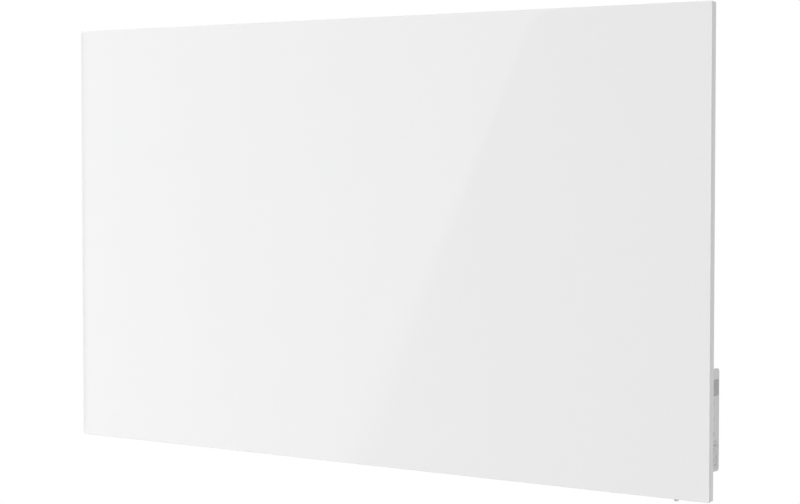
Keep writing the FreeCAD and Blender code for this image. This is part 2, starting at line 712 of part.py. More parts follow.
def element_support(side):
    """Sheet bracket from the back sheet that carries both legs, and on the right the cut-out."""
    x = SUPPORT_X[side]
    foot = BACK_IN_Y - SUPPORT_SHEET / 2
    low = ELEMENT_Z - FIN_HEIGHT / 2 - SUPPORT_OVERHANG
    high = ELEMENT_Z + FIN_HEIGHT / 2 + SUPPORT_OVERHANG
    if side == RIGHT:
        high = CUTOUT_Z + CUTOUT_FLANGE_RADIUS + SUPPORT_OVERHANG
    path = [Vector(x + side * SUPPORT_FOOT, foot, low), Vector(x, foot, low),
            Vector(x, ELEMENT_Y - FIN_DEPTH / 2, low)]
    return holed(folded(path, SUPPORT_SHEET, Z_AXIS * (high - low)), leg_holes(SUPPORT_PLAY))


def terminal_insulators():
    """Ceramic collars on the ends of the hairpin."""
    collars = []
    for z in LEG_Z.values():
        start = Vector(TUBE_END_X, ELEMENT_Y, z)
        neck = rod(start, INSULATOR_NECK_RADIUS, INSULATOR_LENGTH + INSULATOR_NECK, X_AXIS)
        collar = fused(rod(start, INSULATOR_RADIUS, INSULATOR_LENGTH, X_AXIS), neck)
        bore = rod(start - X_AXIS * THROUGH, PIN_RADIUS + PIN_PLAY, INSULATOR_LENGTH + 4 * THROUGH, X_AXIS)
        collars.append(holed(collar, [bore]))
    return collars


def terminal_pins():
    """Pins through the insulators, each ending in a flat tab."""
    pins = []
    for z in LEG_Z.values():
        length = INSULATOR_LENGTH + INSULATOR_NECK + PIN_RADIUS
        stem = rod(Vector(TUBE_END_X, ELEMENT_Y, z), PIN_RADIUS, length, X_AXIS)
        tab_x = (TAB_TIP_X - BLADE_LENGTH, TAB_TIP_X)
        tab = block(tab_x, span(ELEMENT_Y, BLADE_THICKNESS), span(z, BLADE_WIDTH))
        pins.append(fused(stem, tab))
    return pins


def thermal_cutout():
    """Bimetal overheat cut-out on the right-hand support, with two blades."""
    seat = Vector(CUTOUT_X, ELEMENT_Y, CUTOUT_Z)
    flange = rod(seat, CUTOUT_FLANGE_RADIUS, CUTOUT_FLANGE, X_AXIS)
    body = rod(seat, CUTOUT_RADIUS, CUTOUT_DEPTH, X_AXIS)
    reach = (CUTOUT_X + CUTOUT_DEPTH / 2, BLADE_TIP_X)
    blades = [block(reach, span(ELEMENT_Y + way * BLADE_OFFSET, BLADE_THICKNESS), span(CUTOUT_Z, BLADE_WIDTH))
              for way in (-1, 1)]
    return fused(flange, body, *blades)


def element_leads():
    """Insulated wires: terminal to cut-out, cut-out to control box, terminal to control box."""
    near = TAB_TIP_X + LEAD_NEAR
    far = TAB_TIP_X + LEAD_FAR
    blade_y = [ELEMENT_Y - BLADE_OFFSET, ELEMENT_Y + BLADE_OFFSET]
    lead_y = span(CONTROL_MID_Y, LEAD_SPACING)
    jumper = [Vector(TAB_TIP_X, ELEMENT_Y, LEG_Z[TOP]), Vector(near, ELEMENT_Y, LEG_Z[TOP]),
              Vector(near, blade_y[0], CUTOUT_Z), Vector(BLADE_TIP_X, blade_y[0], CUTOUT_Z)]
    live = [Vector(BLADE_TIP_X, blade_y[1], CUTOUT_Z), Vector(far, blade_y[1], CUTOUT_Z),
            Vector(far, lead_y[0], BUSH_Z), Vector(BLOCK_X, lead_y[0], BUSH_Z)]
    neutral = [Vector(TAB_TIP_X, ELEMENT_Y, LEG_Z[BOTTOM]), Vector(near, ELEMENT_Y, LEG_Z[BOTTOM]),
               Vector(near, lead_y[1], BUSH_Z), Vector(BLOCK_X, lead_y[1], BUSH_Z)]
    return [tube(path, LEAD_BEND, LEAD_RADIUS) for path in (jumper, live, neutral)]


def bush_hole():
    """A tool for the holes that the wire bush passes through."""
    start = Vector(DUCT_X - THROUGH, CONTROL_MID_Y, BUSH_Z)
    return rod(start, BUSH_RADIUS + BUSH_FIT, HOUSING_X[0] - DUCT_X + 2 * THROUGH, X_AXIS)


def wire_bush():
    """Rubber bush that takes the wires from the duct into the control box."""
    low = DUCT_X - SHEET - BUSH_PROUD
    high = HOUSING_X[0] + CONTROL_WALL + BUSH_PROUD
    centre = Vector(0, CONTROL_MID_Y, BUSH_Z)
    body = rod(centre + X_AXIS * low, BUSH_RADIUS, high - low, X_AXIS)
    collars = [rod(centre + X_AXIS * x, BUSH_COLLAR_RADIUS, BUSH_COLLAR, X_AXIS)
               for x in (DUCT_X, HOUSING_X[0] - BUSH_COLLAR)]
    bore = rod(centre + X_AXIS * (low - THROUGH), BUSH_RADIUS - BUSH_WALL, high - low + 2 * THROUGH, X_AXIS)
    return holed(fused(body, *collars), [bore])


def hook_rivet_places():
    """Rivets of the two hooks through the back sheet: (x, z) pairs."""
    z = RAIL_TOP_Z + SEAT_GAP + BRACKET_SHEET + HOOK_WELD / 2
    return [(side * HOOK_X + way * HOOK_WIDTH / 4, z) for side in (LEFT, RIGHT) for way in (-1, 1)]


def hanger_hooks():
    """Two hooks on the back sheet that drop over the bracket's upper rail."""
    weld = BACK_OUT_Y + BRACKET_SHEET / 2
    leg = RAIL_BACK_Y + HOOK_PLAY + BRACKET_SHEET / 2
    shelf = RAIL_TOP_Z + SEAT_GAP + BRACKET_SHEET / 2
    hooks = []
    for side in (LEFT, RIGHT):
        x = side * HOOK_X - HOOK_WIDTH / 2
        path = [Vector(x, weld, shelf + HOOK_WELD), Vector(x, weld, shelf),
                Vector(x, leg, shelf), Vector(x, leg, shelf - HOOK_LEG)]
        holes = [rod(Vector(px, BACK_IN_Y, pz), RIVET_RADIUS + THREAD_PLAY, 2 * THROUGH, Y_AXIS)
                 for px, pz in hook_rivet_places()]
        hooks.append(holed(folded(path, BRACKET_SHEET, X_AXIS * HOOK_WIDTH), holes))
    return hooks


def rivet(x, z, front, back):
    """A rivet with a head on each side of what it joins."""
    shank = rod(Vector(x, front, z), RIVET_RADIUS, back - front, Y_AXIS)
    heads = [rod(Vector(x, front - RIVET_HEAD, z), RIVET_HEAD_RADIUS, RIVET_HEAD, Y_AXIS),
             rod(Vector(x, back, z), RIVET_HEAD_RADIUS, RIVET_HEAD, Y_AXIS)]
    outer = (front - RIVET_HEAD, back + RIVET_HEAD)
    heads = [head.makeFillet(RIVET_HEAD * 0.6, edges_at(head, Y_AXIS, level))
             for head, level in zip(heads, outer)]
    return fused(shank, *heads)


def hook_rivets():
    """Rivets that hold the hooks to the back sheet."""
    return [rivet(x, z, BACK_IN_Y, BACK_OUT_Y + BRACKET_SHEET) for x, z in hook_rivet_places()]


def rear_bumpers():
    """Rubber stops that rest against the bracket's lower rail."""
    length = RAIL_FRONT_Y - BUMPER_GAP - BACK_OUT_Y
    bumpers = []
    for side in (LEFT, RIGHT):
        base = Vector(side * BUMPER_X, BACK_OUT_Y, RAIL_Z[BOTTOM])
        stop = Part.makeCone(BUMPER_RADIUS, BUMPER_TIP_RADIUS, length, base, Y_AXIS)
        bumpers.append(stop.makeFillet(BUMPER_ROUND, edges_at(stop, Y_AXIS, BACK_OUT_Y + length)))
    return bumpers


def bracket_rivet_places():
    """Rivets that join the rails to the uprights: (x, z) pairs."""
    return [(side * RIVET_X, RAIL_Z[end] + way * RIVET_PITCH / 2)
            for side in (LEFT, RIGHT) for end in (BOTTOM, TOP) for way in (-1, 1)]


def bracket_rivet_hole(x, z):
    """A tool for a rivet's hole in a rail or an upright."""
    return rod(Vector(x, RAIL_FRONT_Y - THROUGH, z), RIVET_RADIUS + THREAD_PLAY, 3 * THROUGH, Y_AXIS)


def bracket_upright(side):
    """Z-section on the wall: its outer flange takes the screws, its inner one the rails."""
    half = SCREW_SPACING_Z / 2 + UPRIGHT_OVERHANG
    wall = -BRACKET_SHEET / 2
    front = RAIL_BACK_Y + BRACKET_SHEET / 2
    path = [Vector(side * (UPRIGHT_X + WALL_FLANGE), wall, -half), Vector(side * UPRIGHT_X, wall, -half),
            Vector(side * UPRIGHT_X, front, -half), Vector(side * (UPRIGHT_X - UPRIGHT_FLANGE), front, -half)]
    tools = [rod(Vector(side * SCREW_SPACING_X / 2, -THROUGH, z), WALL_HOLE_RADIUS, 2 * THROUGH, Y_AXIS)
             for z in RAIL_Z.values()]
    tools += [bracket_rivet_hole(x, z) for x, z in bracket_rivet_places() if x * side > 0]
    return holed(folded(path, BRACKET_SHEET, Z_AXIS * (2 * half)), tools)


def bracket_rail(end):
    """Cross rail with a stiffening lip along its lower edge."""
    face = RAIL_BACK_Y - BRACKET_SHEET / 2
    low, high = span(RAIL_Z[end], RAIL_HEIGHT)
    x = UPRIGHT_X
    path = [Vector(-x, face, high), Vector(-x, face, low), Vector(-x, face - RAIL_LIP, low)]
    tools = [bracket_rivet_hole(px, pz) for px, pz in bracket_rivet_places() if pz * end > 0]
    return holed(folded(path, BRACKET_SHEET, X_AXIS * (2 * x)), tools)


def bracket_rivets():
    """Rivets through the rails and uprights."""
    return [rivet(x, z, RAIL_FRONT_Y, RAIL_BACK_Y + BRACKET_SHEET) for x, z in bracket_rivet_places()]


def control_lug(end):
    """A lug of the control box that lies on the tray."""
    z = sorted((LUG_Z[end] + end * LUG_HEIGHT / 2, LUG_Z[end] - end * (LUG_HEIGHT / 2 + CONTROL_WALL)))
    return block(span(LUG_X, LUG_WIDTH), (CONTROL_Y[0], CONTROL_Y[0] + LUG_THICKNESS), z)


def power_board_posts():
    """Posts on the box's front wall that carry the power board."""
    base = CONTROL_Y[0] + CONTROL_WALL
    corners = [(x, z) for x in grown(POWER_BOARD_X, -POST_INSET) for z in grown(POWER_BOARD_Z, -POST_INSET)]
    return [rod(Vector(x, base, z), POST_RADIUS, POWER_BOARD_STANDOFF, Y_AXIS) for x, z in corners]


def control_housing():
    """Moulded box on the tray, open towards the panel's side edge."""
    shell = slab(HOUSING_X, CONTROL_Y, CONTROL_Z, X_AXIS, CONTROL_CORNER)
    shell = shell.makeFillet(CONTROL_EDGE_ROUND, edges_at(shell, X_AXIS, HOUSING_X[0]))
    inside = slab((HOUSING_X[0] + CONTROL_WALL, HOUSING_X[1] + THROUGH), grown(CONTROL_Y, -CONTROL_WALL),
                  grown(CONTROL_Z, -CONTROL_WALL), X_AXIS, CONTROL_CORNER - CONTROL_WALL)
    lugs = [control_lug(end) for end in (BOTTOM, TOP)]
    shell = holed(fused(shell, *lugs), [inside])
    shell = fused(shell, *power_board_posts())
    floor_holes = [(GLAND_X, GLAND_THREAD_RADIUS + GLAND_HOLE_PLAY), (SENSOR_X, SENSOR_RADIUS + SENSOR_FIT)]
    tools = [stud_hole(x, z) for x, z in lug_stud_places()]
    tools.append(bush_hole())
    tools += [rod(Vector(x, CONTROL_MID_Y, CONTROL_Z[0] - THROUGH), radius, 2 * THROUGH, Z_AXIS)
              for x, radius in floor_holes]
    middle = sum(HOUSING_X) / 2
    rows = [(i - (HOUSING_VENTS - 1) / 2) * HOUSING_VENT_PITCH for i in range(HOUSING_VENTS)]
    vents = [Vector(middle, CONTROL_Y[1], CONTROL_MID_Z + row) for row in rows]
    tools += [stadium(vent, HOUSING_VENT_LENGTH, HOUSING_VENT_WIDTH, X_AXIS, Y_AXIS, 2 * THROUGH)
              for vent in vents]
    return holed(shell, tools)


def board_post_places():
    """The control board's four fixings: (y, z) pairs."""
    return [(y, z) for y in grown(BOARD_Y, -POST_INSET) for z in grown(BOARD_Z, -POST_INSET)]


def fascia_rim():
    """Locating rim of the fascia, a loose fit inside the housing's walls."""
    depth = (FASCIA_IN_X - FASCIA_RIM, FASCIA_IN_X)
    set_in = CONTROL_WALL + FASCIA_FIT
    rim = slab(depth, grown(CONTROL_Y, -set_in), grown(CONTROL_Z, -set_in), X_AXIS, CONTROL_CORNER - set_in)
    set_in += FASCIA_RIM_WALL
    hollow = block(grown(depth, THROUGH), grown(CONTROL_Y, -set_in), grown(CONTROL_Z, -set_in))
    return rim.cut(hollow)


def control_fascia():
    """The box's side face: window, button and switch openings, a rim and four posts."""
    plate = slab((FASCIA_IN_X, FASCIA_X), CONTROL_Y, CONTROL_Z, X_AXIS, CONTROL_CORNER)
    plate = plate.makeFillet(FASCIA_EDGE_ROUND, edges_at(plate, X_AXIS, FASCIA_X))
    posts = [rod(Vector(BOARD_X, y, z), POST_RADIUS, BOARD_STANDOFF, X_AXIS) for y, z in board_post_places()]
    plate = fused(plate, fascia_rim(), *posts)
    inner = FASCIA_IN_X - FASCIA_RIM - THROUGH
    through = (inner, FASCIA_X + THROUGH)
    window_y = span(CONTROL_MID_Y, WINDOW_WIDTH)
    tools = [slab(through, window_y, WINDOW_Z, X_AXIS, WINDOW_CORNER)]
    tools.append(block((inner, FASCIA_IN_X), window_y, grown(WINDOW_Z, WINDOW_FLANGE + WINDOW_FIT)))
    button_hole = BUTTON_RADIUS + BUTTON_PLAY
    length = FASCIA_X + THROUGH - inner
    tools += [rod(Vector(inner, CONTROL_MID_Y, z), button_hole, length, X_AXIS) for z in BUTTON_Z]
    body_y, body_z = switch_body_size()
    tools.append(block(through, grown(body_y, SWITCH_FIT), grown(body_z, SWITCH_FIT)))
    thread = POST_SCREW_RADIUS + THREAD_PLAY
    tools += [rod(Vector(BOARD_X - THROUGH, y, z), thread, THROUGH + POST_SCREW_LENGTH, X_AXIS)
              for y, z in board_post_places()]
    return holed(plate, tools)


def display_window():
    """Clear window, flush in the fascia and flanged behind it."""
    lens_x = (FASCIA_IN_X, FASCIA_IN_X + WINDOW_THICKNESS)
    lens_y = span(CONTROL_MID_Y, WINDOW_WIDTH - 2 * WINDOW_FIT)
    lens = slab(lens_x, lens_y, grown(WINDOW_Z, -WINDOW_FIT), X_AXIS, WINDOW_CORNER)
    flange_x = (FASCIA_IN_X - WINDOW_FLANGE_THICKNESS, FASCIA_IN_X)
    flange = block(flange_x, lens_y, grown(WINDOW_Z, WINDOW_FLANGE))
    return fused(lens, flange)


def display_module():
    """Display cell between the window and the control board."""
    back = FASCIA_IN_X - WINDOW_FLANGE_THICKNESS - DISPLAY_GAP
    width = min(WINDOW_WIDTH, BOARD_Y[1] - BOARD_Y[0])
    return slab((BOARD_X, back), span(CONTROL_MID_Y, width), WINDOW_Z, X_AXIS, WINDOW_CORNER)


def control_board():
    """Circuit board on the fascia's posts."""
    board = block((BOARD_X - BOARD, BOARD_X), BOARD_Y, BOARD_Z)
    hole = POST_SCREW_RADIUS + SCREW_HOLE_PLAY
    tools = [rod(Vector(BOARD_X - THROUGH, y, z), hole, 2 * THROUGH, X_AXIS) for y, z in board_post_places()]
    return holed(board, tools)


def board_screws():
    """Small screws that hold the control board to the posts."""
    return [pan_screw(Vector(BOARD_X - BOARD, y, z), -X_AXIS, POST_SCREW_RADIUS, POST_SCREW_LENGTH,
                      POST_SCREW_HEAD_RADIUS, POST_SCREW_HEAD) for y, z in board_post_places()]


def tact_switches():
    """Push switches on the control board, one behind each button."""
    switches = []
    for z in BUTTON_Z:
        body = block((BOARD_X, BOARD_X + TACT_HEIGHT), span(CONTROL_MID_Y, TACT_SIZE), span(z, TACT_SIZE))
        seat = Vector(BOARD_X, CONTROL_MID_Y, z)
        plunger = rod(seat, TACT_PLUNGER_RADIUS, TACT_HEIGHT + TACT_PLUNGER, X_AXIS)
        switches.append(fused(body, plunger))
    return switches


def button(z):
    """Round push button with a collar behind the fascia and a stem towards its switch."""
    collar_face = FASCIA_IN_X - BUTTON_COLLAR_GAP
    centre = Vector(0, CONTROL_MID_Y, z)
    cap = rod(centre + X_AXIS * (collar_face - BUTTON_COLLAR), BUTTON_RADIUS,
              FASCIA_X + BUTTON_PROUD - collar_face + BUTTON_COLLAR, X_AXIS)
    cap = cap.makeFillet(BUTTON_ROUND, edges_at(cap, X_AXIS, FASCIA_X + BUTTON_PROUD))
    collar = block((collar_face - BUTTON_COLLAR, collar_face), span(CONTROL_MID_Y, BUTTON_COLLAR_WIDTH),
                   span(z, 2 * (BUTTON_RADIUS + BUTTON_COLLAR_REACH)))
    stem_end = BOARD_X + TACT_HEIGHT + TACT_PLUNGER + BUTTON_TRAVEL + PRESS_GAP
    stem = rod(centre + X_AXIS * stem_end, BUTTON_STEM_RADIUS, collar_face - stem_end, X_AXIS)
    return fused(cap, collar, stem)


def switch_body_size():
    """Width and height of the mains switch's body behind its bezel, as Y and Z ends."""
    y = span(CONTROL_MID_Y, SWITCH_WIDTH - 2 * SWITCH_BEZEL_RIM)
    return (y, grown(SWITCH_Z, -SWITCH_BEZEL_RIM))


def mains_switch_frame():
    """Snap-in body and bezel of the mains switch, with a pocket for the rocker."""
    bezel_x = FASCIA_X + SWITCH_BEZEL
    bezel = slab((FASCIA_X, bezel_x), span(CONTROL_MID_Y, SWITCH_WIDTH), SWITCH_Z, X_AXIS, SWITCH_CORNER)
    bezel = bezel.makeFillet(SWITCH_BEZEL_ROUND, edges_at(bezel, X_AXIS, bezel_x))
    y, z = switch_body_size()
    frame = fused(bezel, block((FASCIA_X - SWITCH_DEPTH, FASCIA_X), y, z))
    pocket = block((PIVOT_X - ROCKER_SWING_ROOM, bezel_x + THROUGH),
                   span(CONTROL_MID_Y, ROCKER_WIDTH + 2 * ROCKER_GAP),
                   span(SWITCH_MID_Z, 2 * (ROCKER_REACH + ROCKER_GAP)))
    return holed(frame, [pocket, trunnion(TRUNNION_PLAY)])


def trunnion(play):
    """The rocker's pivot pin, or with play the hole that it turns in."""
    length = ROCKER_WIDTH + 2 * (ROCKER_GAP + TRUNNION_REACH + play)
    start = Vector(PIVOT_X, CONTROL_MID_Y - length / 2, SWITCH_MID_Z)
    return rod(start, TRUNNION_RADIUS + play, length, Y_AXIS)


def mains_rocker():
    """Rocker with two faces in a shallow V, standing at off: upper end proud."""
    tilt = math.radians(ROCKER_TILT)
    top = math.sin(tilt) * ROCKER_REACH * 0.95 + ROCKER_SADDLE
    y = CONTROL_MID_Y - ROCKER_WIDTH / 2

    def at(height, out):
        return Vector(PIVOT_X + out, y, SWITCH_MID_Z + height)

    def on_arc(out):
        return math.sqrt(ROCKER_REACH ** 2 - out ** 2)

    high = on_arc(top)
    low = on_arc(ROCKER_BELOW)
    edges = [
        Part.LineSegment(at(0, ROCKER_SADDLE), at(high, top)).toShape(),
        Part.Arc(at(high, top), at(ROCKER_REACH, 0), at(low, -ROCKER_BELOW)).toShape(),
        Part.LineSegment(at(low, -ROCKER_BELOW), at(-low, -ROCKER_BELOW)).toShape(),
        Part.Arc(at(-low, -ROCKER_BELOW), at(-ROCKER_REACH, 0), at(-high, top)).toShape(),
        Part.LineSegment(at(-high, top), at(0, ROCKER_SADDLE)).toShape(),
    ]
    rocker = Part.Face(Part.Wire(edges)).extrude(Y_AXIS * ROCKER_WIDTH)
    ends = [e for e in rocker.Edges if abs(e.CenterOfMass.x - PIVOT_X - top) < 1e-4]
    rocker = fused(rocker.makeFillet(ROCKER_ROUND, ends), trunnion(0))
    rocker.rotate(Vector(PIVOT_X, CONTROL_MID_Y, SWITCH_MID_Z), Y_AXIS, ROCKER_TILT)
    return rocker


def switch_blades():
    """Contact blades on the back of the mains switch."""
    x = (FASCIA_X - SWITCH_DEPTH - SWITCH_BLADE_LENGTH, FASCIA_X - SWITCH_DEPTH)
    return [block(x, span(CONTROL_MID_Y + a * SWITCH_BLADE_PITCH_Y / 2, BLADE_THICKNESS),
                  span(SWITCH_MID_Z + b * SWITCH_BLADE_PITCH_Z / 2, SWITCH_BLADE_WIDTH))
            for a in (-1, 1) for b in (-1, 1)]


def power_board():
    """Circuit board on the control box's front wall."""
    return block(POWER_BOARD_X, (POWER_BOARD_Y, POWER_BOARD_Y + BOARD), POWER_BOARD_Z)


def on_power_board(x, z, size):
    """A component block standing on the power board, centred on z and starting at x."""
    seat = POWER_BOARD_Y + BOARD
    return slab((x, x + size[0]), (seat, seat + size[1]), span(z, size[2]), Y_AXIS, WINDOW_CORNER)


def power_relay():
    """Relay that switches the element."""
    return on_power_board(POWER_BOARD_X[0] + BOARD_MARGIN, CONTROL_MID_Z + RELAY_ABOVE_MIDDLE, RELAY_SIZE)


def terminal_block():
    """Screw terminals where the element's wires end."""
    return on_power_board(BLOCK_X, BUSH_Z, BLOCK_SIZE)


def gland_flutes(centre):
    """Tools for the grip flutes round the gland's cap."""
    out = GLAND_CAP_RADIUS + GLAND_FLUTE_RADIUS - GLAND_FLUTE_DEPTH
    start = centre - Z_AXIS * (GLAND_HEX + GLAND_CAP + THROUGH)
    turns = [2 * math.pi * i / GLAND_FLUTES for i in range(GLAND_FLUTES)]
    return [rod(start + Vector(out * math.cos(turn), out * math.sin(turn), 0), GLAND_FLUTE_RADIUS,
                GLAND_CAP + THROUGH, Z_AXIS) for turn in turns]


def cord_gland():
    """Threaded cord inlet through the floor of the control box."""
    floor = CONTROL_Z[0]
    centre = Vector(GLAND_X, CONTROL_MID_Y, floor)
    hexagonal = hexagon(centre - Z_AXIS * GLAND_HEX, GLAND_FLATS, GLAND_HEX, Z_AXIS)
    cap = rod(centre - Z_AXIS * (GLAND_HEX + GLAND_CAP), GLAND_CAP_RADIUS, GLAND_CAP, Z_AXIS)
    rounding = (GLAND_CAP_RADIUS - GLAND_BORE) * 0.6
    cap = cap.makeFillet(rounding, edges_at(cap, Z_AXIS, floor - GLAND_HEX - GLAND_CAP))
    thread = rod(centre, GLAND_THREAD_RADIUS, GLAND_INSIDE, Z_AXIS)
    length = GLAND_HEX + GLAND_CAP + GLAND_INSIDE
    bore = rod(centre - Z_AXIS * (GLAND_HEX + GLAND_CAP + THROUGH), GLAND_BORE, length + 2 * THROUGH, Z_AXIS)
    return holed(fused(hexagonal, holed(cap, gland_flutes(centre)), thread), [bore])


def gland_locknut():
    """Nut that holds the cord inlet from inside."""
    start = Vector(GLAND_X, CONTROL_MID_Y, CONTROL_Z[0] + CONTROL_WALL)
    nut = hexagon(start, LOCKNUT_FLATS, LOCKNUT_HEIGHT, Z_AXIS)
    length = LOCKNUT_HEIGHT + 2 * THROUGH
    bore = rod(start - Z_AXIS * THROUGH, GLAND_THREAD_RADIUS + THREAD_PLAY, length, Z_AXIS)
    return holed(nut, [bore])


def sensor_tip_z():
    """Height of the room sensor's tip, just under the panel's lower edge."""
    return -PANEL_HEIGHT / 2 - SENSOR_BELOW_PANEL


def sensor_sleeve():
    """Slotted sleeve that reaches down from the control box into the room's air."""
    tip = sensor_tip_z()
    top = CONTROL_Z[0] + CONTROL_WALL
    centre = Vector(SENSOR_X, CONTROL_MID_Y, tip)
    outer = rod(centre, SENSOR_RADIUS, top - tip, Z_AXIS)
    outer = outer.makeFillet(SENSOR_WALL, edges_at(outer, Z_AXIS, tip))
    inner = SENSOR_RADIUS - SENSOR_WALL
    collars = [rod(Vector(SENSOR_X, CONTROL_MID_Y, level), SENSOR_COLLAR_RADIUS, SENSOR_COLLAR, Z_AXIS)
               for level in (top, CONTROL_Z[0] - SENSOR_COLLAR)]
    bore = rod(centre + Z_AXIS * SENSOR_WALL, inner, top - tip + THROUGH, Z_AXIS)
    middle = centre + Z_AXIS * (SENSOR_WALL + SENSOR_SLOT_LENGTH / 2 + SENSOR_SLOT / 2)
    slots = [stadium(middle, SENSOR_SLOT_LENGTH, SENSOR_SLOT, Z_AXIS, way, 4 * SENSOR_RADIUS)
             for way in (X_AXIS, Y_AXIS)]
    return holed(fused(outer, *collars), [bore] + slots)


def sensor_bead():
    """Temperature bead standing in the sleeve."""
    seat = Vector(SENSOR_X, CONTROL_MID_Y, sensor_tip_z() + SENSOR_WALL + SENSOR_BEAD_GAP)
    bead = rod(seat, SENSOR_BEAD_RADIUS, SENSOR_BEAD_LENGTH, Z_AXIS)
    return bead.makeFillet(SENSOR_BEAD_RADIUS * 0.6, edges_at(bead, Z_AXIS, seat.z))


def all_nodes():
    """Every node by name: one solid, or a list of like solids."""
    nodes = {
        "front_glass": front_glass(),
        "bond_film": bond_film(),
        "front_tray": front_tray(),
        "tray_studs": tray_studs(),
        "flange_nuts": flange_nuts(),
        "duct_cheek_left": duct_cheek(LEFT),
        "duct_cheek_right": duct_cheek(RIGHT),
        "outlet_grille": grille(TOP),
        "inlet_grille": grille(BOTTOM),
        "back_sheet": back_sheet(),
        "sheet_screws": sheet_screws(),
        "heat_shield": heat_shield(),
        "element_tube": element_tube(),
        "element_fins": element_fins(),
        "element_support_left": element_support(LEFT),
        "element_support_right": element_support(RIGHT),
        "terminal_insulators": terminal_insulators(),
        "terminal_pins": terminal_pins(),
        "thermal_cutout": thermal_cutout(),
        "element_leads": element_leads(),
        "wire_bush": wire_bush(),
        "hanger_hooks": hanger_hooks(),
        "hook_rivets": hook_rivets(),
        "rear_bumpers": rear_bumpers(),
        "bracket_upright_left": bracket_upright(LEFT),
        "bracket_upright_right": bracket_upright(RIGHT),
        "bracket_rail_upper": bracket_rail(TOP),
        "bracket_rail_lower": bracket_rail(BOTTOM),
        "bracket_rivets": bracket_rivets(),
        "control_housing": control_housing(),
        "control_fascia": control_fascia(),
        "display_window": display_window(),
        "display_module": display_module(),
        "control_board": control_board(),
        "board_screws": board_screws(),
        "tact_switches": tact_switches(),
        "mains_switch_frame": mains_switch_frame(),
        "mains_rocker": mains_rocker(),
        "switch_blades": switch_blades(),
        "power_board": power_board(),
        "power_relay": power_relay(),
        "terminal_block": terminal_block(),
        "cord_gland": cord_gland(),
        "gland_locknut": gland_locknut(),
        "sensor_sleeve": sensor_sleeve(),
        "sensor_bead": sensor_bead(),
    }
    for name, z in zip(BUTTON_NAMES, BUTTON_Z):
        nodes[name] = button(z)
    return nodes


def main():
    """Write one file per node."""
    os.makedirs("parts", exist_ok=True)
    for name, shape in all_nodes().items():
        if isinstance(shape, list):
            shape = Part.makeCompound(shape)
        print(name, len(shape.Solids), shape.isValid(), round(shape.Volume, 1))
        shape.exportStep(f"parts/{name}.step")


main()
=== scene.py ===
"""Looks of the wall-hung convector heater: finishes, printed marks and a plain white studio.

Metres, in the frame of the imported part: the wall is Y = 0, the room is towards -Y, +X is right
and +Z is up.
"""
import json
import math

import bpy
from mathutils import Matrix, Vector
from mathutils.bvhtree import BVHTree


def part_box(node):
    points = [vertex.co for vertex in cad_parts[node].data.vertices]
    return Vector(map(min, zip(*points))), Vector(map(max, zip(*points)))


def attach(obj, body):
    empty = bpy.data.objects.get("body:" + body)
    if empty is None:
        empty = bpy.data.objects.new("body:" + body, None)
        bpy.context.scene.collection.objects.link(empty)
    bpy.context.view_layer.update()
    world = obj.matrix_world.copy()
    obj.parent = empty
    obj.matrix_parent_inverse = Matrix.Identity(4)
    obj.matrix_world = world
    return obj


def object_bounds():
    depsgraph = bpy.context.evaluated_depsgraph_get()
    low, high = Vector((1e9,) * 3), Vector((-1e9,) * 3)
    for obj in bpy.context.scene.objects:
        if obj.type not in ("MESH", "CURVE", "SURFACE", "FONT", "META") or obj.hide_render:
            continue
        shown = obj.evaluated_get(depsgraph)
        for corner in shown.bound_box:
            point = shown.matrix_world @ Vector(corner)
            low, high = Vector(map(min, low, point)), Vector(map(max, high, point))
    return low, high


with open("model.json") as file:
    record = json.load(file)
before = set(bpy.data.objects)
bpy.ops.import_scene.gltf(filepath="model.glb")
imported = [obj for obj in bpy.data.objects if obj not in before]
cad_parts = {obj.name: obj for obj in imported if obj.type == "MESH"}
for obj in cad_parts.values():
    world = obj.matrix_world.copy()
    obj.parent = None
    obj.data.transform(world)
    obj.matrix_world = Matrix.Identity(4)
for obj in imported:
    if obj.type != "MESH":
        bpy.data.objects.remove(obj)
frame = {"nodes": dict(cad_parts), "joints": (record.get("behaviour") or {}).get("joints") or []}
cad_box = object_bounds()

MM = 0.001
MICRON = 0.000001
X_AXIS = Vector((1, 0, 0))
Y_AXIS = Vector((0, 1, 0))
Z_AXIS = Vector((0, 0, 1))

# Camera, as fitted to the four corners of the front
IMAGE_WIDTH = 800
FOCAL_PIXELS = 2179.56
SENSOR_WIDTH = 36.0
AZIMUTH = math.radians(37.705)
ELEVATION = math.radians(2.5645)
TARGET_X = 49.41 * MM
TARGET_Z = -8.56 * MM
CAMERA_DISTANCE = 2163.4 * MM
CLIP_START = 0.05
CLIP_END = 50.0

# Even light on the object, where 1 is white
AMBIENT = 0.45

# Lit card that shows in the glass, and the dim flag on its left
CARD_RADIANCE = 1.6
CARD_REACH = 2.2
CARD_HALF_HEIGHT = 0.4
CARD_PAST_EDGE = 0.012
FLAG_WIDTH = 0.2
FLAG_RADIANCE = 0.35

# Right edge of the card as it shows on the glass, from top to foot, and how soft it is at two heights
REFLECTION_TOP = Vector((0.209, 0.2225))
REFLECTION_FOOT = Vector((-0.003, -0.2216))
CRISP_LEVEL = 0.03
CRISP_EDGE = 0.006
SOFT_LEVEL = -0.17
SOFT_EDGE = 0.060

# Soft boxes: place, width, height, radiance. Those in front of the glass are kept out of reflections
SOFT_BOXES = {
    "key_light": (Vector((-1.75, -0.9, 0.3)), 0.6, 1.2, 2.65),
    "fill_light": (Vector((0.2, -4.0, 1.0)), 2.0, 2.0, 4.42),
    "strip_light": (Vector((2.5, -1.3, 0.0)), 0.25, 2.0, 2.6),
    "side_light": (Vector((2.4, 0.5, 0.9)), 1.4, 1.4, 1.1),
    "top_light": (Vector((-1.5, 0.1, 2.1)), 0.8, 1.7, 0.9),
    "rear_light": (Vector((-1.8, 1.8, 1.3)), 2.4, 2.4, 2.4),
}
UNREFLECTED = ("key_light", "fill_light")

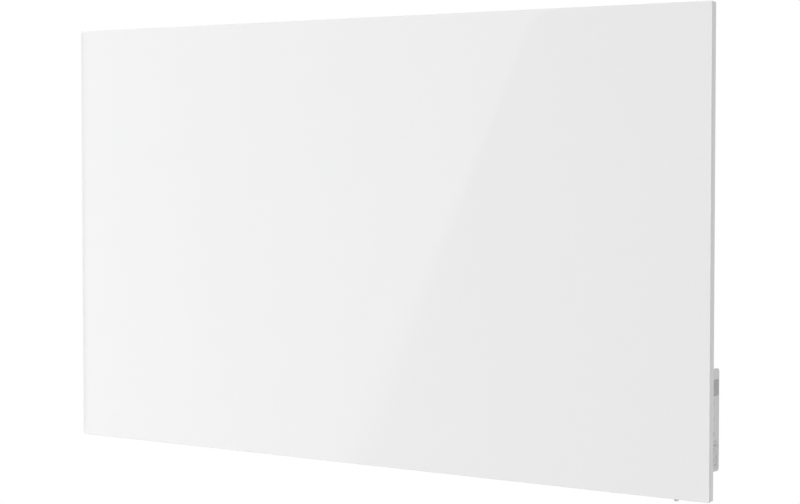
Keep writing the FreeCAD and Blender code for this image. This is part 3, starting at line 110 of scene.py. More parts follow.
# Floor, which turns to pure white between two distances from its middle
FLOOR_BELOW = 0.35
FLOOR_RADIUS = 1.3
FLOOR_SIDES = 96
FLOOR_TONE = 0.78
FLOOR_LIFT = 0.22
FLOOR_FADE_START = 0.45 * FLOOR_RADIUS
FLOOR_FADE_END = 0.95 * FLOOR_RADIUS

# The two tones that the pattern of each finish runs between
TONES = {
    "white_glass": ((0.872, 0.873, 0.873, 1), (0.880, 0.881, 0.880, 1)),
    "white_steel": ((0.80, 0.80, 0.79, 1), (0.83, 0.83, 0.82, 1)),
    "galvanised_steel": ((0.48, 0.50, 0.52, 1), (0.70, 0.72, 0.73, 1)),
    "zinc_steel": ((0.66, 0.68, 0.72, 1), (0.74, 0.72, 0.66, 1)),
    "bright_aluminium": ((0.76, 0.77, 0.78, 1), (0.86, 0.86, 0.87, 1)),
    "tube_steel": ((0.40, 0.34, 0.27, 1), (0.30, 0.31, 0.36, 1)),
    "ceramic": ((0.84, 0.81, 0.75, 1), (0.62, 0.57, 0.50, 1)),
    "wire_sleeve": ((0.72, 0.70, 0.64, 1), (0.62, 0.60, 0.55, 1)),
    "black_rubber": ((0.022, 0.022, 0.023, 1), (0.075, 0.075, 0.074, 1)),
    "display_clear": ((0.63, 0.628, 0.65, 1), (0.65, 0.648, 0.67, 1)),
    "display_cell": ((0.58, 0.58, 0.59, 1), (0.63, 0.63, 0.64, 1)),
    "green_board": ((0.010, 0.105, 0.040, 1), (0.030, 0.215, 0.080, 1)),
    "adhesive": ((0.50, 0.50, 0.50, 1), (0.58, 0.58, 0.57, 1)),
    "ink": ((0.38, 0.38, 0.39, 1), (0.44, 0.44, 0.45, 1)),
    "cell_ink": ((0.46, 0.46, 0.47, 1), (0.50, 0.50, 0.51, 1)),
}
GROUND_GLASS = (0.767, 0.772, 0.77, 1)
# Colour of the painted shade where surfaces of the white coat meet
STEEL_PAINTED_SHADE = (0.60, 0.595, 0.58, 1)
DULL_ZINC = (0.46, 0.47, 0.48, 1)

# Moulded plastics: colour, roughness, depth of the grain, and how much of the colour the painted shade
# where surfaces meet keeps
PLASTICS = {
    "black_plastic": ((0.030, 0.030, 0.033), 0.48, 20 * MICRON, 0.72),
    "white_plastic": ((0.74, 0.738, 0.75), 0.42, 20 * MICRON, 0.72),
    "grey_plastic": ((0.68, 0.678, 0.69), 0.40, 15 * MICRON, 0.97),
    "blue_plastic": ((0.05, 0.13, 0.42), 0.40, 10 * MICRON, 0.72),
    "sensor_epoxy": ((0.035, 0.035, 0.035), 0.22, 30 * MICRON, 0.72),
}

# Refractive indices
GLASS_IOR = 1.52
ACRYLIC_IOR = 1.49
PLASTIC_IOR = 1.5

# Toughened glass: the dip at its edges, the waves of its face and the roughness of its ground edges
GLASS_DIP = 0.09 * MM
GLASS_DIP_REACH = 3.0 * MM
GLASS_WAVE = 0.1 * MM
GROUND_ROUGHNESS = 0.2

# Crystals of the zinc, how far their outlines wander, and the feathering across them
CRYSTALS_PER_METRE = 150.0
WANDERS_PER_METRE = 220.0
WANDER_REACH = 4.0 * MM
FEATHERS_PER_METRE = 420.0
FEATHER_DISTORTION = 3.0
FEATHER_TURN = 6.28
CRYSTAL_SHARE = 0.75
FEATHER_SHARE = 0.25

# Circuit tracks
TRACKS_PER_METRE = 160.0
TRACK_WIDTH = 0.03

# Share of open sky at which the painted shade where surfaces meet is deepest and at which it ends
PAINTED_SHADE_SHUT = 0.2
PAINTED_SHADE_OPEN = 0.9

# Rays that the painted shade and a softened edge take
PAINTED_SHADE_SAMPLES = 8
BEVEL_SAMPLES = 4

# Printed marks, and how far outside the rocker the rays start that find its two faces
INK_THICKNESS = 0.05 * MM
INK_SPREAD = 0.03 * MM
MARK_STROKE = 0.6 * MM
MARK_REACH = 1.9 * MM
ROCKER_MARK_REACH = 2.0 * MM
STANDBY_GAP = math.radians(70)
STANDBY_STROKE_MIDDLE = 0.62 * MARK_REACH
STANDBY_STROKE_REACH = 0.42 * MARK_REACH
ARC_STEPS = 40
RAY_START = 1.0

# Lips at the ends of the switch's pocket
POCKET_WIDTH = 12.5 * MM
POCKET_CLEARANCE = 0.25 * MM
LIP_CLEARANCE = 0.1 * MM
LIP_DEPTH = 1.8 * MM
LIP_STEPS = 12

# Display film and its digits
FILM_THICKNESS = 0.2 * MM
FILM_MARGIN = 0.3 * MM
DIGITS = 2
DIGIT_WIDTH = 5.4 * MM
DIGIT_HEIGHT = 10.0 * MM
DIGIT_PITCH = 8.0 * MM
DIGIT_LEAN = math.tan(math.radians(6))
SEGMENT_WIDTH = 1.1 * MM
SEGMENT_GAP = 0.2 * MM

# Sockets of the Mix node when it mixes colours
MIX_FACTOR, MIX_FIRST, MIX_SECOND, MIX_RESULT = 0, 6, 7, 2


# Node helpers

def put(tree, socket, value):
    """Links a socket to another one, or sets it to a constant."""
    if isinstance(value, bpy.types.NodeSocket):
        tree.links.new(value, socket)
    else:
        socket.default_value = value


def node(tree, kind, inputs=None, **settings):
    """Adds a shader node with its settings and inputs."""
    made = tree.nodes.new("ShaderNode" + kind)
    for name, value in settings.items():
        setattr(made, name, value)
    for name, value in (inputs or {}).items():
        put(tree, made.inputs[name], value)
    return made


def place(tree, stretch=(1, 1, 1)):
    """The point on the piece, with each axis scaled."""
    point = node(tree, "TexCoord").outputs["Object"]
    return node(tree, "Mapping", {"Vector": point, "Scale": stretch}).outputs["Vector"]


def noise(tree, per_metre, detail=2.0, stretch=(1, 1, 1)):
    """Cloudy pattern with that many lumps to a metre, about 0.5 on average."""
    inputs = {"Vector": place(tree, stretch), "Scale": per_metre, "Detail": detail}
    return node(tree, "TexNoise", inputs).outputs["Fac"]


def cells(tree, per_metre):
    """Distance from the middles of scattered cells, with that many cells to a metre."""
    inputs = {"Vector": place(tree), "Scale": per_metre}
    return node(tree, "TexVoronoi", inputs).outputs["Distance"]


def ranged(tree, value, low, high, start=0.3, end=0.7):
    """A value taken from start..end to low..high, without running over."""
    inputs = {"Value": value, "From Min": start, "From Max": end, "To Min": low, "To Max": high}
    return node(tree, "MapRange", inputs).outputs["Result"]


def math_node(tree, operation, first, second=0.0):
    """One arithmetic step."""
    return node(tree, "Math", {0: first, 1: second}, operation=operation).outputs["Value"]


def mixed(tree, factor, first, second):
    """One colour turning into another."""
    inputs = {MIX_FACTOR: factor, MIX_FIRST: first, MIX_SECOND: second}
    return node(tree, "Mix", inputs, data_type="RGBA").outputs[MIX_RESULT]


def grey(value):
    """A neutral colour."""
    return (value, value, value, 1.0)


def shade(colour, by):
    """A colour made darker or lighter."""
    return tuple(min(1.0, c * by) for c in colour[:3]) + (1.0,)


def new_finish(name, **constants):
    """A new material, its node tree and its shader with those constants."""
    material = bpy.data.materials.new(name)
    material.use_nodes = True
    tree = material.node_tree
    shader = tree.nodes["Principled BSDF"]
    for socket, value in constants.items():
        shader.inputs[socket.replace("_", " ")].default_value = value
    return material, tree, shader


def bare_finish(name):
    """A new material without a shader, and its node tree."""
    material, tree, shader = new_finish(name)
    tree.nodes.remove(shader)
    return material, tree


def paint(tree, shader, colour, roughness):
    """Links a colour and a roughness to the shader."""
    tree.links.new(colour, shader.inputs["Base Color"])
    tree.links.new(roughness, shader.inputs["Roughness"])


def relief(tree, shader, layers, softened=0.0):
    """Bumps as (height pattern, depth in metres) pairs. Softened rounds the edges of the shading."""
    normal = None
    if softened:
        normal = node(tree, "Bevel", {"Radius": softened}, samples=BEVEL_SAMPLES).outputs["Normal"]
    for height, depth in layers:
        inputs = {"Height": height, "Distance": depth, "Strength": 1.0}
        if normal:
            inputs["Normal"] = normal
        normal = node(tree, "Bump", inputs).outputs["Normal"]
    tree.links.new(normal, shader.inputs["Normal"])


def painted_crevice_shade(tree, colour, reach, painted_shade_colour):
    """A colour with painted shade: darker where surfaces meet, as ambient occlusion finds them."""
    inputs = {"Distance": reach}
    sky = node(tree, "AmbientOcclusion", inputs, samples=PAINTED_SHADE_SAMPLES).outputs["AO"]
    shade_amount = ranged(tree, sky, low=1.0, high=0.0, start=PAINTED_SHADE_SHUT, end=PAINTED_SHADE_OPEN)
    return mixed(tree, shade_amount, colour, painted_shade_colour)


# Finishes

def white_glass():
    """White enamel behind polished glass, with greyer ground edges and the dip of toughened edges."""
    material, tree, shader = new_finish("white_glass", IOR=GLASS_IOR)
    coordinates = node(tree, "TexCoord").outputs
    normal_y = node(tree, "SeparateXYZ", {"Vector": coordinates["Normal"]}).outputs["Y"]
    facing = math_node(tree, "ABSOLUTE", normal_y)
    edge = ranged(tree, facing, low=1.0, high=0.0, start=0.05, end=0.4)
    enamel = mixed(tree, noise(tree, per_metre=4.0), *TONES["white_glass"])
    smudge = ranged(tree, noise(tree, per_metre=9.0, detail=4.0), low=0.012, high=0.022)
    inputs = {"Factor": edge, "A": smudge, "B": GROUND_ROUGHNESS}
    rough = node(tree, "Mix", inputs, data_type="FLOAT").outputs["Result"]
    paint(tree, shader, mixed(tree, edge, enamel, GROUND_GLASS), rough)
    point = node(tree, "SeparateXYZ", {"Vector": coordinates["Object"]}).outputs
    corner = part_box("front_glass")[1]
    dips = []
    for axis, half in (("X", corner.x), ("Z", corner.z)):
        inside = math_node(tree, "SUBTRACT", half, math_node(tree, "ABSOLUTE", point[axis]))
        share = math_node(tree, "DIVIDE", inside, -GLASS_DIP_REACH)
        dips.append(math_node(tree, "EXPONENT", share))
    dip = math_node(tree, "MULTIPLY", math_node(tree, "MAXIMUM", *dips), -1.0)
    waves = noise(tree, per_metre=5.0, detail=0.0, stretch=(1.0, 1.0, 0.4))
    relief(tree, shader, [(waves, GLASS_WAVE), (dip, GLASS_DIP)])
    return material


def white_steel():
    """White powder coat with a fine orange-peel skin, and painted shade where surfaces meet."""
    material, tree, shader = new_finish("white_steel")
    coat = mixed(tree, noise(tree, per_metre=14.0, detail=4.0), *TONES["white_steel"])
    rough = ranged(tree, noise(tree, per_metre=2500.0), low=0.40, high=0.55)
    paint(tree, shader, painted_crevice_shade(tree, coat, reach=20 * MM, painted_shade_colour=STEEL_PAINTED_SHADE), rough)
    peel = (noise(tree, per_metre=650.0), 60 * MICRON)
    grain = (noise(tree, per_metre=2200.0), 20 * MICRON)
    relief(tree, shader, [peel, grain], softened=0.4 * MM)
    return material


def galvanised_steel():
    """Hot-dip zinc: crystals of different tone and lean, each finely feathered, and dull patches."""
    material, tree, shader = new_finish("galvanised_steel", Metallic=1.0)
    inputs = {"Vector": place(tree), "Scale": WANDERS_PER_METRE, "Detail": 3.0}
    wander = node(tree, "TexNoise", inputs).outputs["Color"]
    inputs = {0: wander, "Scale": WANDER_REACH}
    shift = node(tree, "VectorMath", inputs, operation="SCALE").outputs["Vector"]
    inputs = {0: place(tree), 1: shift}
    point = node(tree, "VectorMath", inputs, operation="ADD").outputs["Vector"]
    crystals = node(tree, "TexVoronoi", {"Vector": point, "Scale": CRYSTALS_PER_METRE})
    lean = node(tree, "SeparateColor", {"Color": crystals.outputs["Color"]}).outputs
    angle = math_node(tree, "MULTIPLY", lean["Green"], FEATHER_TURN)
    turned = node(tree, "VectorRotate", {"Vector": point, "Angle": angle}).outputs["Vector"]
    inputs = {"Vector": turned, "Scale": FEATHERS_PER_METRE, "Distortion": FEATHER_DISTORTION}
    feather = math_node(tree, "MULTIPLY", node(tree, "TexWave", inputs).outputs["Fac"], FEATHER_SHARE)
    crystal = math_node(tree, "MULTIPLY", lean["Red"], CRYSTAL_SHARE)
    tone = math_node(tree, "ADD", crystal, feather)
    zinc = mixed(tree, tone, *TONES["galvanised_steel"])
    patches = ranged(tree, noise(tree, per_metre=24.0, detail=5.0), low=0.0, high=0.4)
    rough = ranged(tree, tone, low=0.26, high=0.50, start=0.0, end=1.0)
    paint(tree, shader, mixed(tree, patches, zinc, DULL_ZINC), rough)
    grain = (noise(tree, per_metre=900.0), 20 * MICRON)
    relief(tree, shader, [(tone, 12 * MICRON), grain], softened=0.3 * MM)
    return material


def zinc_steel():
    """Bright zinc plate with a faint passivation tint."""
    material, tree, shader = new_finish("zinc_steel", Metallic=1.0)
    tint = mixed(tree, noise(tree, per_metre=160.0, detail=3.0), *TONES["zinc_steel"])
    rough = ranged(tree, noise(tree, per_metre=1200.0, detail=4.0), low=0.24, high=0.42)
    paint(tree, shader, tint, rough)
    relief(tree, shader, [(noise(tree, per_metre=1500.0), 10 * MICRON)], softened=0.2 * MM)
    return material


def bright_aluminium():
    """Mill-finish aluminium with rolling streaks."""
    material, tree, shader = new_finish("bright_aluminium", Metallic=1.0)
    streak = noise(tree, per_metre=400.0, detail=3.0, stretch=(0.04, 1.0, 1.0))
    metal = mixed(tree, streak, *TONES["bright_aluminium"])
    paint(tree, shader, metal, ranged(tree, streak, low=0.25, high=0.42))
    relief(tree, shader, [(streak, 10 * MICRON)])
    return material


def tube_steel():
    """Annealed stainless tube with straw and blue heat tints."""
    material, tree, shader = new_finish("tube_steel", Metallic=1.0)
    tint = mixed(tree, noise(tree, per_metre=25.0), *TONES["tube_steel"])
    paint(tree, shader, tint, ranged(tree, noise(tree, per_metre=700.0), low=0.32, high=0.5))
    relief(tree, shader, [(noise(tree, per_metre=1600.0), 10 * MICRON)])
    return material


def ceramic():
    """Unglazed steatite with small specks."""
    material, tree, shader = new_finish("ceramic")
    grit = noise(tree, per_metre=900.0, detail=4.0)
    specks = ranged(tree, grit, low=0.0, high=1.0, start=0.62, end=0.7)
    rough = ranged(tree, noise(tree, per_metre=600.0), low=0.55, high=0.75)
    paint(tree, shader, mixed(tree, specks, *TONES["ceramic"]), rough)
    relief(tree, shader, [(noise(tree, per_metre=1400.0), 30 * MICRON)])
    return material


def moulded(name, colour, roughness, grain, shade_kept):
    """Moulded plastic: a spark-eroded grain, slight flow marks, soft edges, and painted shade where
    surfaces meet.
    """
    material, tree, shader = new_finish(name, IOR=PLASTIC_IOR)
    streaks = noise(tree, per_metre=45.0, detail=3.0, stretch=(1.0, 1.0, 0.3))
    flow = mixed(tree, streaks, shade(colour, by=0.97), shade(colour, by=1.03))
    skin = noise(tree, per_metre=2600.0)
    rough = ranged(tree, skin, low=roughness - 0.06, high=roughness + 0.08)
    paint(tree, shader, painted_crevice_shade(tree, flow, reach=6 * MM, painted_shade_colour=shade(colour, by=shade_kept)), rough)
    relief(tree, shader, [(noise(tree, per_metre=1700.0, detail=3.0), grain)], softened=0.25 * MM)
    return material


def wire_sleeve():
    """Silicone insulation with the fine waves of its braid."""
    material, tree, shader = new_finish("wire_sleeve")
    braid = cells(tree, per_metre=1400.0)
    rough = ranged(tree, noise(tree, per_metre=800.0), low=0.45, high=0.6)
    paint(tree, shader, mixed(tree, braid, *TONES["wire_sleeve"]), rough)
    relief(tree, shader, [(braid, 50 * MICRON)])
    return material


def black_rubber():
    """Matt rubber with a trace of bloom."""
    material, tree, shader = new_finish("black_rubber", IOR=PLASTIC_IOR)
    haze = noise(tree, per_metre=120.0, detail=5.0)
    bloom = ranged(tree, haze, low=0.0, high=1.0, start=0.45, end=0.8)
    rough = ranged(tree, noise(tree, per_metre=900.0), low=0.65, high=0.85)
    paint(tree, shader, mixed(tree, bloom, *TONES["black_rubber"]), rough)
    relief(tree, shader, [(noise(tree, per_metre=1800.0), 30 * MICRON)], softened=0.3 * MM)
    return material


def display_clear():
    """Smoked window of the display with the faint haze of wiping."""
    material, tree, shader = new_finish("display_clear", IOR=ACRYLIC_IOR, Transmission_Weight=0.35)
    haze = noise(tree, per_metre=300.0, detail=4.0, stretch=(1.0, 0.2, 1.0))
    smoke = mixed(tree, haze, *TONES["display_clear"])
    paint(tree, shader, smoke, ranged(tree, haze, low=0.04, high=0.09))
    return material


def display_cell():
    """Grey reflective cell with a fine fibre."""
    material, tree, shader = new_finish("display_cell", IOR=PLASTIC_IOR)
    fibre = noise(tree, per_metre=3000.0)
    cell = mixed(tree, fibre, *TONES["display_cell"])
    paint(tree, shader, cell, ranged(tree, fibre, low=0.3, high=0.45))
    relief(tree, shader, [(fibre, 5 * MICRON)])
    return material


def green_board():
    """Circuit board: solder mask over copper tracks."""
    material, tree, shader = new_finish("green_board", IOR=PLASTIC_IOR)
    inputs = {"Vector": place(tree), "Scale": TRACKS_PER_METRE, "Mortar Size": TRACK_WIDTH}
    tracks = node(tree, "TexBrick", inputs).outputs["Fac"]
    rough = ranged(tree, noise(tree, per_metre=900.0), low=0.3, high=0.42)
    paint(tree, shader, mixed(tree, tracks, *TONES["green_board"]), rough)
    relief(tree, shader, [(tracks, 30 * MICRON)])
    return material


def adhesive():
    """Grey bonding film with small bubbles."""
    material, tree, shader = new_finish("adhesive")
    bubbles = cells(tree, per_metre=350.0)
    rough = ranged(tree, bubbles, low=0.5, high=0.7, start=0.0, end=1.0)
    paint(tree, shader, mixed(tree, bubbles, *TONES["adhesive"]), rough)
    return material


def ink():
    """Mid grey pad print, slightly uneven."""
    material, tree, shader = new_finish("ink")
    cover = noise(tree, per_metre=5000.0, detail=3.0)
    paint(tree, shader, mixed(tree, cover, *TONES["ink"]), ranged(tree, cover, low=0.45, high=0.6))
    return material


def cell_ink():
    """Segments of the switched-off display, a little darker than their cell."""
    material, tree, shader = new_finish("cell_ink")
    cover = noise(tree, per_metre=4000.0)
    segment = mixed(tree, cover, *TONES["cell_ink"])
    paint(tree, shader, segment, ranged(tree, cover, low=0.3, high=0.4))
    return material


# Finish of each material slot
FINISHES = {
    "white_glass": white_glass(),
    "adhesive": adhesive(),
    "white_steel": white_steel(),
    "zinc_steel": zinc_steel(),
    "galvanised_steel": galvanised_steel(),
    "bright_aluminium": bright_aluminium(),
    "tube_steel": tube_steel(),
    "ceramic": ceramic(),
    "wire_sleeve": wire_sleeve(),
    "black_rubber": black_rubber(),
    "display_clear": display_clear(),
    "display_cell": display_cell(),
    "green_board": green_board(),
    **{name: moulded(name, *values) for name, values in PLASTICS.items()},
}


def finish_frame():
    """Gives every piece of the frame the finish of its slot."""
    for obj in frame["nodes"].values():
        slot = obj.data.materials[0].name.split(".")[0]
        obj.data.materials.clear()
        obj.data.materials.append(FINISHES[slot])


# Printed marks, lips of the switch and display

def bar(centre, half_u, half_v):
    """Outline of a rectangle."""
    u, v = centre
    return [(u + su * half_u, v + sv * half_v) for su, sv in ((-1, -1), (1, -1), (1, 1), (-1, 1))]


def arc(radius, start, end):
    """Points along an arc about the middle."""
    angles = [start + (end - start) * i / ARC_STEPS for i in range(ARC_STEPS + 1)]
    return [(radius * math.cos(a), radius * math.sin(a)) for a in angles]


def ring(radius, stroke):
    """Outer and inner circle of a ring."""
    return [arc(r, 0.0, 2 * math.pi)[:-1] for r in (radius, radius - stroke)]


def plus_sign():
    """A cross of two strokes as one outline, with a little spread of ink at its inner corners."""
    reach, half = MARK_REACH, MARK_STROKE / 2
    corner = half + INK_SPREAD
    quarter = [(reach, -half), (reach, half), (corner, corner)]
    turns = [[(u, v), (-v, u), (-u, -v), (v, -u)] for u, v in quarter]
    return [[point[i] for i in range(4) for point in turns]]


def minus_sign():
    """One stroke."""
    return [bar((0, 0), MARK_REACH, MARK_STROKE / 2)]


def standby_sign():
    """An open ring with a stroke in its gap."""
    start, end = math.pi / 2 + STANDBY_GAP / 2, math.pi * 5 / 2 - STANDBY_GAP / 2
    outline = arc(MARK_REACH, start, end) + arc(MARK_REACH - MARK_STROKE, start, end)[::-1]
    return [outline, bar((0, STANDBY_STROKE_MIDDLE), MARK_STROKE / 2, STANDBY_STROKE_REACH)]


def digit(middle):
    """Seven segments with pointed ends, leaning slightly."""
    half_w = (DIGIT_WIDTH - SEGMENT_WIDTH) / 2
    half_h = (DIGIT_HEIGHT - SEGMENT_WIDTH) / 4
    half_s = SEGMENT_WIDTH / 2
    across = [(0, v) for v in (-2 * half_h, 0, 2 * half_h)]
    upright = [(u, v) for u in (-half_w, half_w) for v in (-half_h, half_h)]
    level = half_w - SEGMENT_GAP
    tall = half_h - SEGMENT_GAP
    shapes = [[(-level, 0), (half_s - level, -half_s), (level - half_s, -half_s), (level, 0),
               (level - half_s, half_s), (half_s - level, half_s)]] * len(across)
    shapes += [[(0, -tall), (half_s, half_s - tall), (half_s, tall - half_s), (0, tall),
                (-half_s, tall - half_s), (-half_s, half_s - tall)]] * len(upright)
    places = across + upright
    outlines = [[(u + cu, v + cv) for u, v in shape] for shape, (cu, cv) in zip(shapes, places)]
    return [[(middle + u + DIGIT_LEAN * v, v) for u, v in outline] for outline in outlines]


def flat_piece(name, outlines, thickness, foot, across, up, body, finish):
    """A flat piece on a face. Outlines are (across, up) points, and one inside another is a hole."""
    curve = bpy.data.curves.new(name, "CURVE")
    curve.dimensions = "2D"
    curve.fill_mode = "BOTH"
    curve.extrude = thickness / 2
    for outline in outlines:
        spline = curve.splines.new("POLY")
        spline.points.add(len(outline) - 1)
        spline.use_cyclic_u = True
        for point, (u, v) in zip(spline.points, outline):
            point.co = (u, v, 0.0, 1.0)
    out = across.cross(up)
    piece = bpy.data.objects.new(name, curve)
    turn = Matrix((across, up, out)).transposed().to_4x4()
    piece.matrix_world = Matrix.Translation(foot + out * thickness / 2) @ turn
    piece.data.materials.append(finish)
    bpy.context.scene.collection.objects.link(piece)
    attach(piece, body)


def mark_buttons(print_ink):
    """Signs on the three buttons."""
    signs = {"plus": plus_sign(), "minus": minus_sign(), "mode": standby_sign()}
    for name, outlines in signs.items():
        low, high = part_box(f"button_{name}")
        foot = Vector((high.x, (low.y + high.y) / 2, (low.z + high.z) / 2))
        flat_piece(f"{name}_mark", outlines, INK_THICKNESS, foot, Y_AXIS, Z_AXIS,
                   f"button_{name}_key", print_ink)


def mark_rocker(print_ink):
    """A stroke for on and a ring for off, on the two faces of the rocker."""
    mesh = frame["nodes"]["mains_rocker"].data
    corners = [v.co for v in mesh.vertices]
    skin = BVHTree.FromPolygons(corners, [p.vertices for p in mesh.polygons])
    low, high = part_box("mains_rocker")
    middle = (low + high) / 2
    quarter = (high.z - low.z) / 4
    stroke = [bar((0, 0), MARK_STROKE / 2, ROCKER_MARK_REACH)]
    circle = ring(ROCKER_MARK_REACH, MARK_STROKE)
    for name, outlines, z in (("on", stroke, quarter), ("off", circle, -quarter)):
        outside = Vector((high.x + RAY_START, middle.y, middle.z + z))
        foot, out, _, _ = skin.ray_cast(outside, -X_AXIS)
        flat_piece(f"rocker_{name}_mark", outlines, INK_THICKNESS, foot, Y_AXIS, out.cross(Y_AXIS),
                   "rocker", print_ink)


def make_lips():
    """Lips that close the switch's pocket, each hollowed to the arc that a rocker end swings through."""
    pivot = Vector(next(j["pos_m"] for j in frame["joints"] if j["child"] == "rocker"))
    points = [v.co - pivot for v in frame["nodes"]["mains_rocker"].data.vertices]
    reach = max(math.hypot(p.x, p.z) for p in points)
    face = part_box("mains_switch_frame")[1].x - pivot.x
    levels = [face - LIP_DEPTH * (1 - i / LIP_STEPS) for i in range(LIP_STEPS + 1)]
    hollow = [(out, math.sqrt((reach + LIP_CLEARANCE) ** 2 - out ** 2)) for out in levels]
    wall = reach + POCKET_CLEARANCE
    outline = hollow + [(levels[-1], wall), (levels[0], wall)]
    foot = pivot + Y_AXIS * POCKET_WIDTH / 2
    for name, side in (("upper", 1), ("lower", -1)):
        turned = [(out, side * height) for out, height in outline]
        flat_piece(f"switch_lip_{name}", [turned], POCKET_WIDTH, foot, X_AXIS, Z_AXIS,
                   "heater", FINISHES["grey_plastic"])


def make_display():
    """The display's film behind the window, with the digits of the switched-off display on it."""
    low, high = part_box("display_window")
    cell_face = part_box("display_module")[1].x
    depth = (cell_face + low.x - FILM_THICKNESS - INK_THICKNESS) / 2
    foot = Vector((depth, (low.y + high.y) / 2, (low.z + high.z) / 2))
    half_y, half_z = (high.y - low.y) / 2, (high.z - low.z) / 2
    sheet = [bar((0, 0), half_y - FILM_MARGIN, half_z - FILM_MARGIN)]
    flat_piece("display_film", sheet, FILM_THICKNESS, foot, Y_AXIS, Z_AXIS,
               "heater", FINISHES["display_cell"])
    middles = [DIGIT_PITCH * (i - (DIGITS - 1) / 2) for i in range(DIGITS)]
    outlines = [outline for middle in middles for outline in digit(middle)]
    flat_piece("display_digits", outlines, INK_THICKNESS, foot + X_AXIS * FILM_THICKNESS, Y_AXIS, Z_AXIS,
               "heater", cell_ink())


# Studio

def soft_box(name, stand, width, height, radiance):
    """A soft box that looks at the heater from where it stands."""
    light = bpy.data.lights.new(name, "AREA")
    light.shape = "RECTANGLE"
    light.size = width
    light.size_y = height
    light.energy = math.pi * width * height * radiance
    obj = bpy.data.objects.new(name, light)
    obj.location = stand
    obj.rotation_euler = stand.to_track_quat("Z", "Y").to_euler()
    obj.visible_camera = False
    obj.visible_glossy = name not in UNREFLECTED
    bpy.context.scene.collection.objects.link(obj)


def camera_back():
    """Unit vector from the target to the camera."""
    level = math.cos(ELEVATION)
    return Vector((math.sin(AZIMUTH) * level, -math.cos(AZIMUTH) * level, math.sin(ELEVATION)))


def camera_place():
    """Where the camera stands."""
    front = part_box("front_glass")[0].y
    return Vector((TARGET_X, front, TARGET_Z)) + camera_back() * CAMERA_DISTANCE


def make_camera():
    """The camera of the main view."""
    data = bpy.data.cameras.new("camera")
    data.sensor_fit = "HORIZONTAL"
    data.sensor_width = SENSOR_WIDTH
    data.lens = FOCAL_PIXELS / IMAGE_WIDTH * SENSOR_WIDTH
    data.clip_start = CLIP_START
    data.clip_end = CLIP_END
    camera = bpy.data.objects.new("camera", data)
    camera.location = camera_place()
    camera.rotation_euler = (math.pi / 2 - ELEVATION, 0.0, AZIMUTH)
    bpy.context.scene.collection.objects.link(camera)
    bpy.context.scene.camera = camera


def edge_slope():
    """How far the reflected edge leans to the right per metre of height."""
    lean = REFLECTION_TOP - REFLECTION_FOOT
    return lean.x / lean.y


def edge_at(height):
    """Where the reflected edge stands on the glass at a height."""
    return REFLECTION_FOOT.x + edge_slope() * (height - REFLECTION_FOOT.y)


def card_finish():
    """White light with a dim flag on its left, which fades at the right edge, more so at its foot."""
    material, tree = bare_finish("card")
    on_glass = node(tree, "TexCoord").outputs["Object"]
    point = node(tree, "SeparateXYZ", {"Vector": on_glass}).outputs
    height = point["Z"]
    above_foot = math_node(tree, "SUBTRACT", height, REFLECTION_FOOT.y)
    leaning = math_node(tree, "MULTIPLY", above_foot, edge_slope())
    past_foot = math_node(tree, "SUBTRACT", REFLECTION_FOOT.x, point["X"])
    inside = math_node(tree, "ADD", past_foot, leaning)
    softness = ranged(tree, height, SOFT_EDGE, CRISP_EDGE, start=SOFT_LEVEL, end=CRISP_LEVEL)
    share = math_node(tree, "DIVIDE", inside, softness)
    fade = {"Value": share, "From Min": -0.5, "From Max": 0.5}
    cover = node(tree, "MapRange", fade, interpolation_type="SMOOTHSTEP").outputs["Result"]
    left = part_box("front_glass")[0].x - CARD_PAST_EDGE
    flag_edge = left - CRISP_EDGE
    strength = ranged(tree, point["X"], FLAG_RADIANCE, CARD_RADIANCE, start=flag_edge, end=left)
    clear = node(tree, "BsdfTransparent").outputs["BSDF"]
    light = node(tree, "Emission", {"Strength": strength}).outputs["Emission"]
    veil = node(tree, "MixShader", {"Fac": cover, 1: clear, 2: light}).outputs["Shader"]
    tree.links.new(veil, tree.nodes["Material Output"].inputs["Surface"])
    return material


def make_card():
    """A lit card at the left front, drawn where it shows on the glass and then moved to its stand."""
    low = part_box("front_glass")[0]
    eye = camera_place()
    mirrored = Vector((eye.x, 2 * low.y - eye.y, eye.z))
    left = low.x - CARD_PAST_EDGE - FLAG_WIDTH
    outline = [
        (left, low.y, CARD_HALF_HEIGHT),
        (left, low.y, -CARD_HALF_HEIGHT),
        (edge_at(-CARD_HALF_HEIGHT) + SOFT_EDGE / 2, low.y, -CARD_HALF_HEIGHT),
        (edge_at(CARD_HALF_HEIGHT) + SOFT_EDGE / 2, low.y, CARD_HALF_HEIGHT),
    ]
    mesh = bpy.data.meshes.new("card")
    mesh.from_pydata(outline, [], [list(range(len(outline)))])
    card = bpy.data.objects.new("card", mesh)
    card.scale = (CARD_REACH, CARD_REACH, CARD_REACH)
    card.location = mirrored * (1.0 - CARD_REACH)
    card.data.materials.append(card_finish())
    card.visible_camera = False
    bpy.context.scene.collection.objects.link(card)


def make_lights():
    """Soft boxes of the studio and the card."""
    for name, (stand, width, height, radiance) in SOFT_BOXES.items():
        soft_box(name, stand, width, height, radiance)
    make_card()


def seen_directly(tree):
    """1 for rays from the camera and from mirror-like or clear surfaces, 0 for the rest."""
    path = node(tree, "LightPath").outputs
    first = math_node(tree, "MAXIMUM", path["Is Camera Ray"], path["Is Glossy Ray"])
    return math_node(tree, "MAXIMUM", first, path["Is Transmission Ray"])


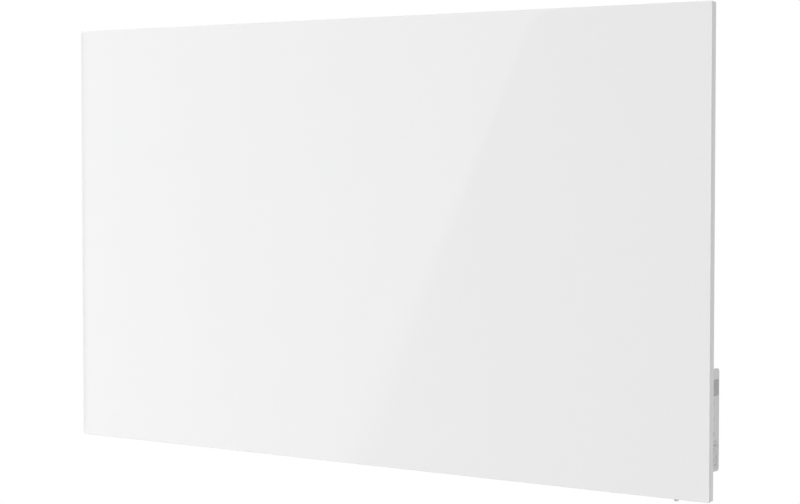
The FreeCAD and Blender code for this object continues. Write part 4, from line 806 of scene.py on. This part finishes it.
def make_world():
    """White where it is seen, and an even soft light on the object."""
    world = bpy.data.worlds.new("studio")
    bpy.context.scene.world = world
    world.use_nodes = True
    tree = world.node_tree
    background = tree.nodes["Background"]
    background.inputs["Color"].default_value = grey(1.0)
    strength = ranged(tree, seen_directly(tree), AMBIENT, 1.0, start=0.0, end=1.0)
    tree.links.new(strength, background.inputs["Strength"])


def floor_finish():
    """Pale floor that keeps the shadow and runs out into white. It is clear from below."""
    material, tree = bare_finish("floor")
    point = node(tree, "TexCoord").outputs["Object"]
    away = node(tree, "VectorMath", {"Vector": point}, operation="LENGTH").outputs["Value"]
    rim = ranged(tree, away, low=0.0, high=1.0, start=FLOOR_FADE_START, end=FLOOR_FADE_END)
    seen = seen_directly(tree)
    pale = node(tree, "BsdfDiffuse", {"Color": grey(FLOOR_TONE)}).outputs["BSDF"]
    glow = math_node(tree, "MULTIPLY", seen, FLOOR_LIFT)
    lift = node(tree, "Emission", {"Strength": glow}).outputs["Emission"]
    lit = node(tree, "AddShader", {0: pale, 1: lift}).outputs["Shader"]
    white = node(tree, "Emission", {"Strength": 1.0}).outputs["Emission"]
    whitened = math_node(tree, "MULTIPLY", seen, rim)
    above = node(tree, "MixShader", {"Fac": whitened, 1: lit, 2: white}).outputs["Shader"]
    below = node(tree, "NewGeometry").outputs["Backfacing"]
    clear = node(tree, "BsdfTransparent").outputs["BSDF"]
    one_sided = node(tree, "MixShader", {"Fac": below, 1: above, 2: clear}).outputs["Shader"]
    tree.links.new(one_sided, tree.nodes["Material Output"].inputs["Surface"])
    return material


def make_floor():
    """A round floor under the heater."""
    angles = [2 * math.pi * i / FLOOR_SIDES for i in range(FLOOR_SIDES)]
    rim = [(FLOOR_RADIUS * math.cos(a), FLOOR_RADIUS * math.sin(a), 0.0) for a in angles]
    mesh = bpy.data.meshes.new("floor")
    mesh.from_pydata(rim, [], [list(range(FLOOR_SIDES))])
    floor = bpy.data.objects.new("floor", mesh)
    floor.location.z = cad_box[0].z - FLOOR_BELOW
    floor.data.materials.append(floor_finish())
    bpy.context.scene.collection.objects.link(floor)


finish_frame()
pad_print = ink()
mark_buttons(pad_print)
mark_rocker(pad_print)
make_lips()
make_display()
make_camera()
make_lights()
make_world()
make_floor()
bpy.context.scene.view_settings.view_transform = "Standard"
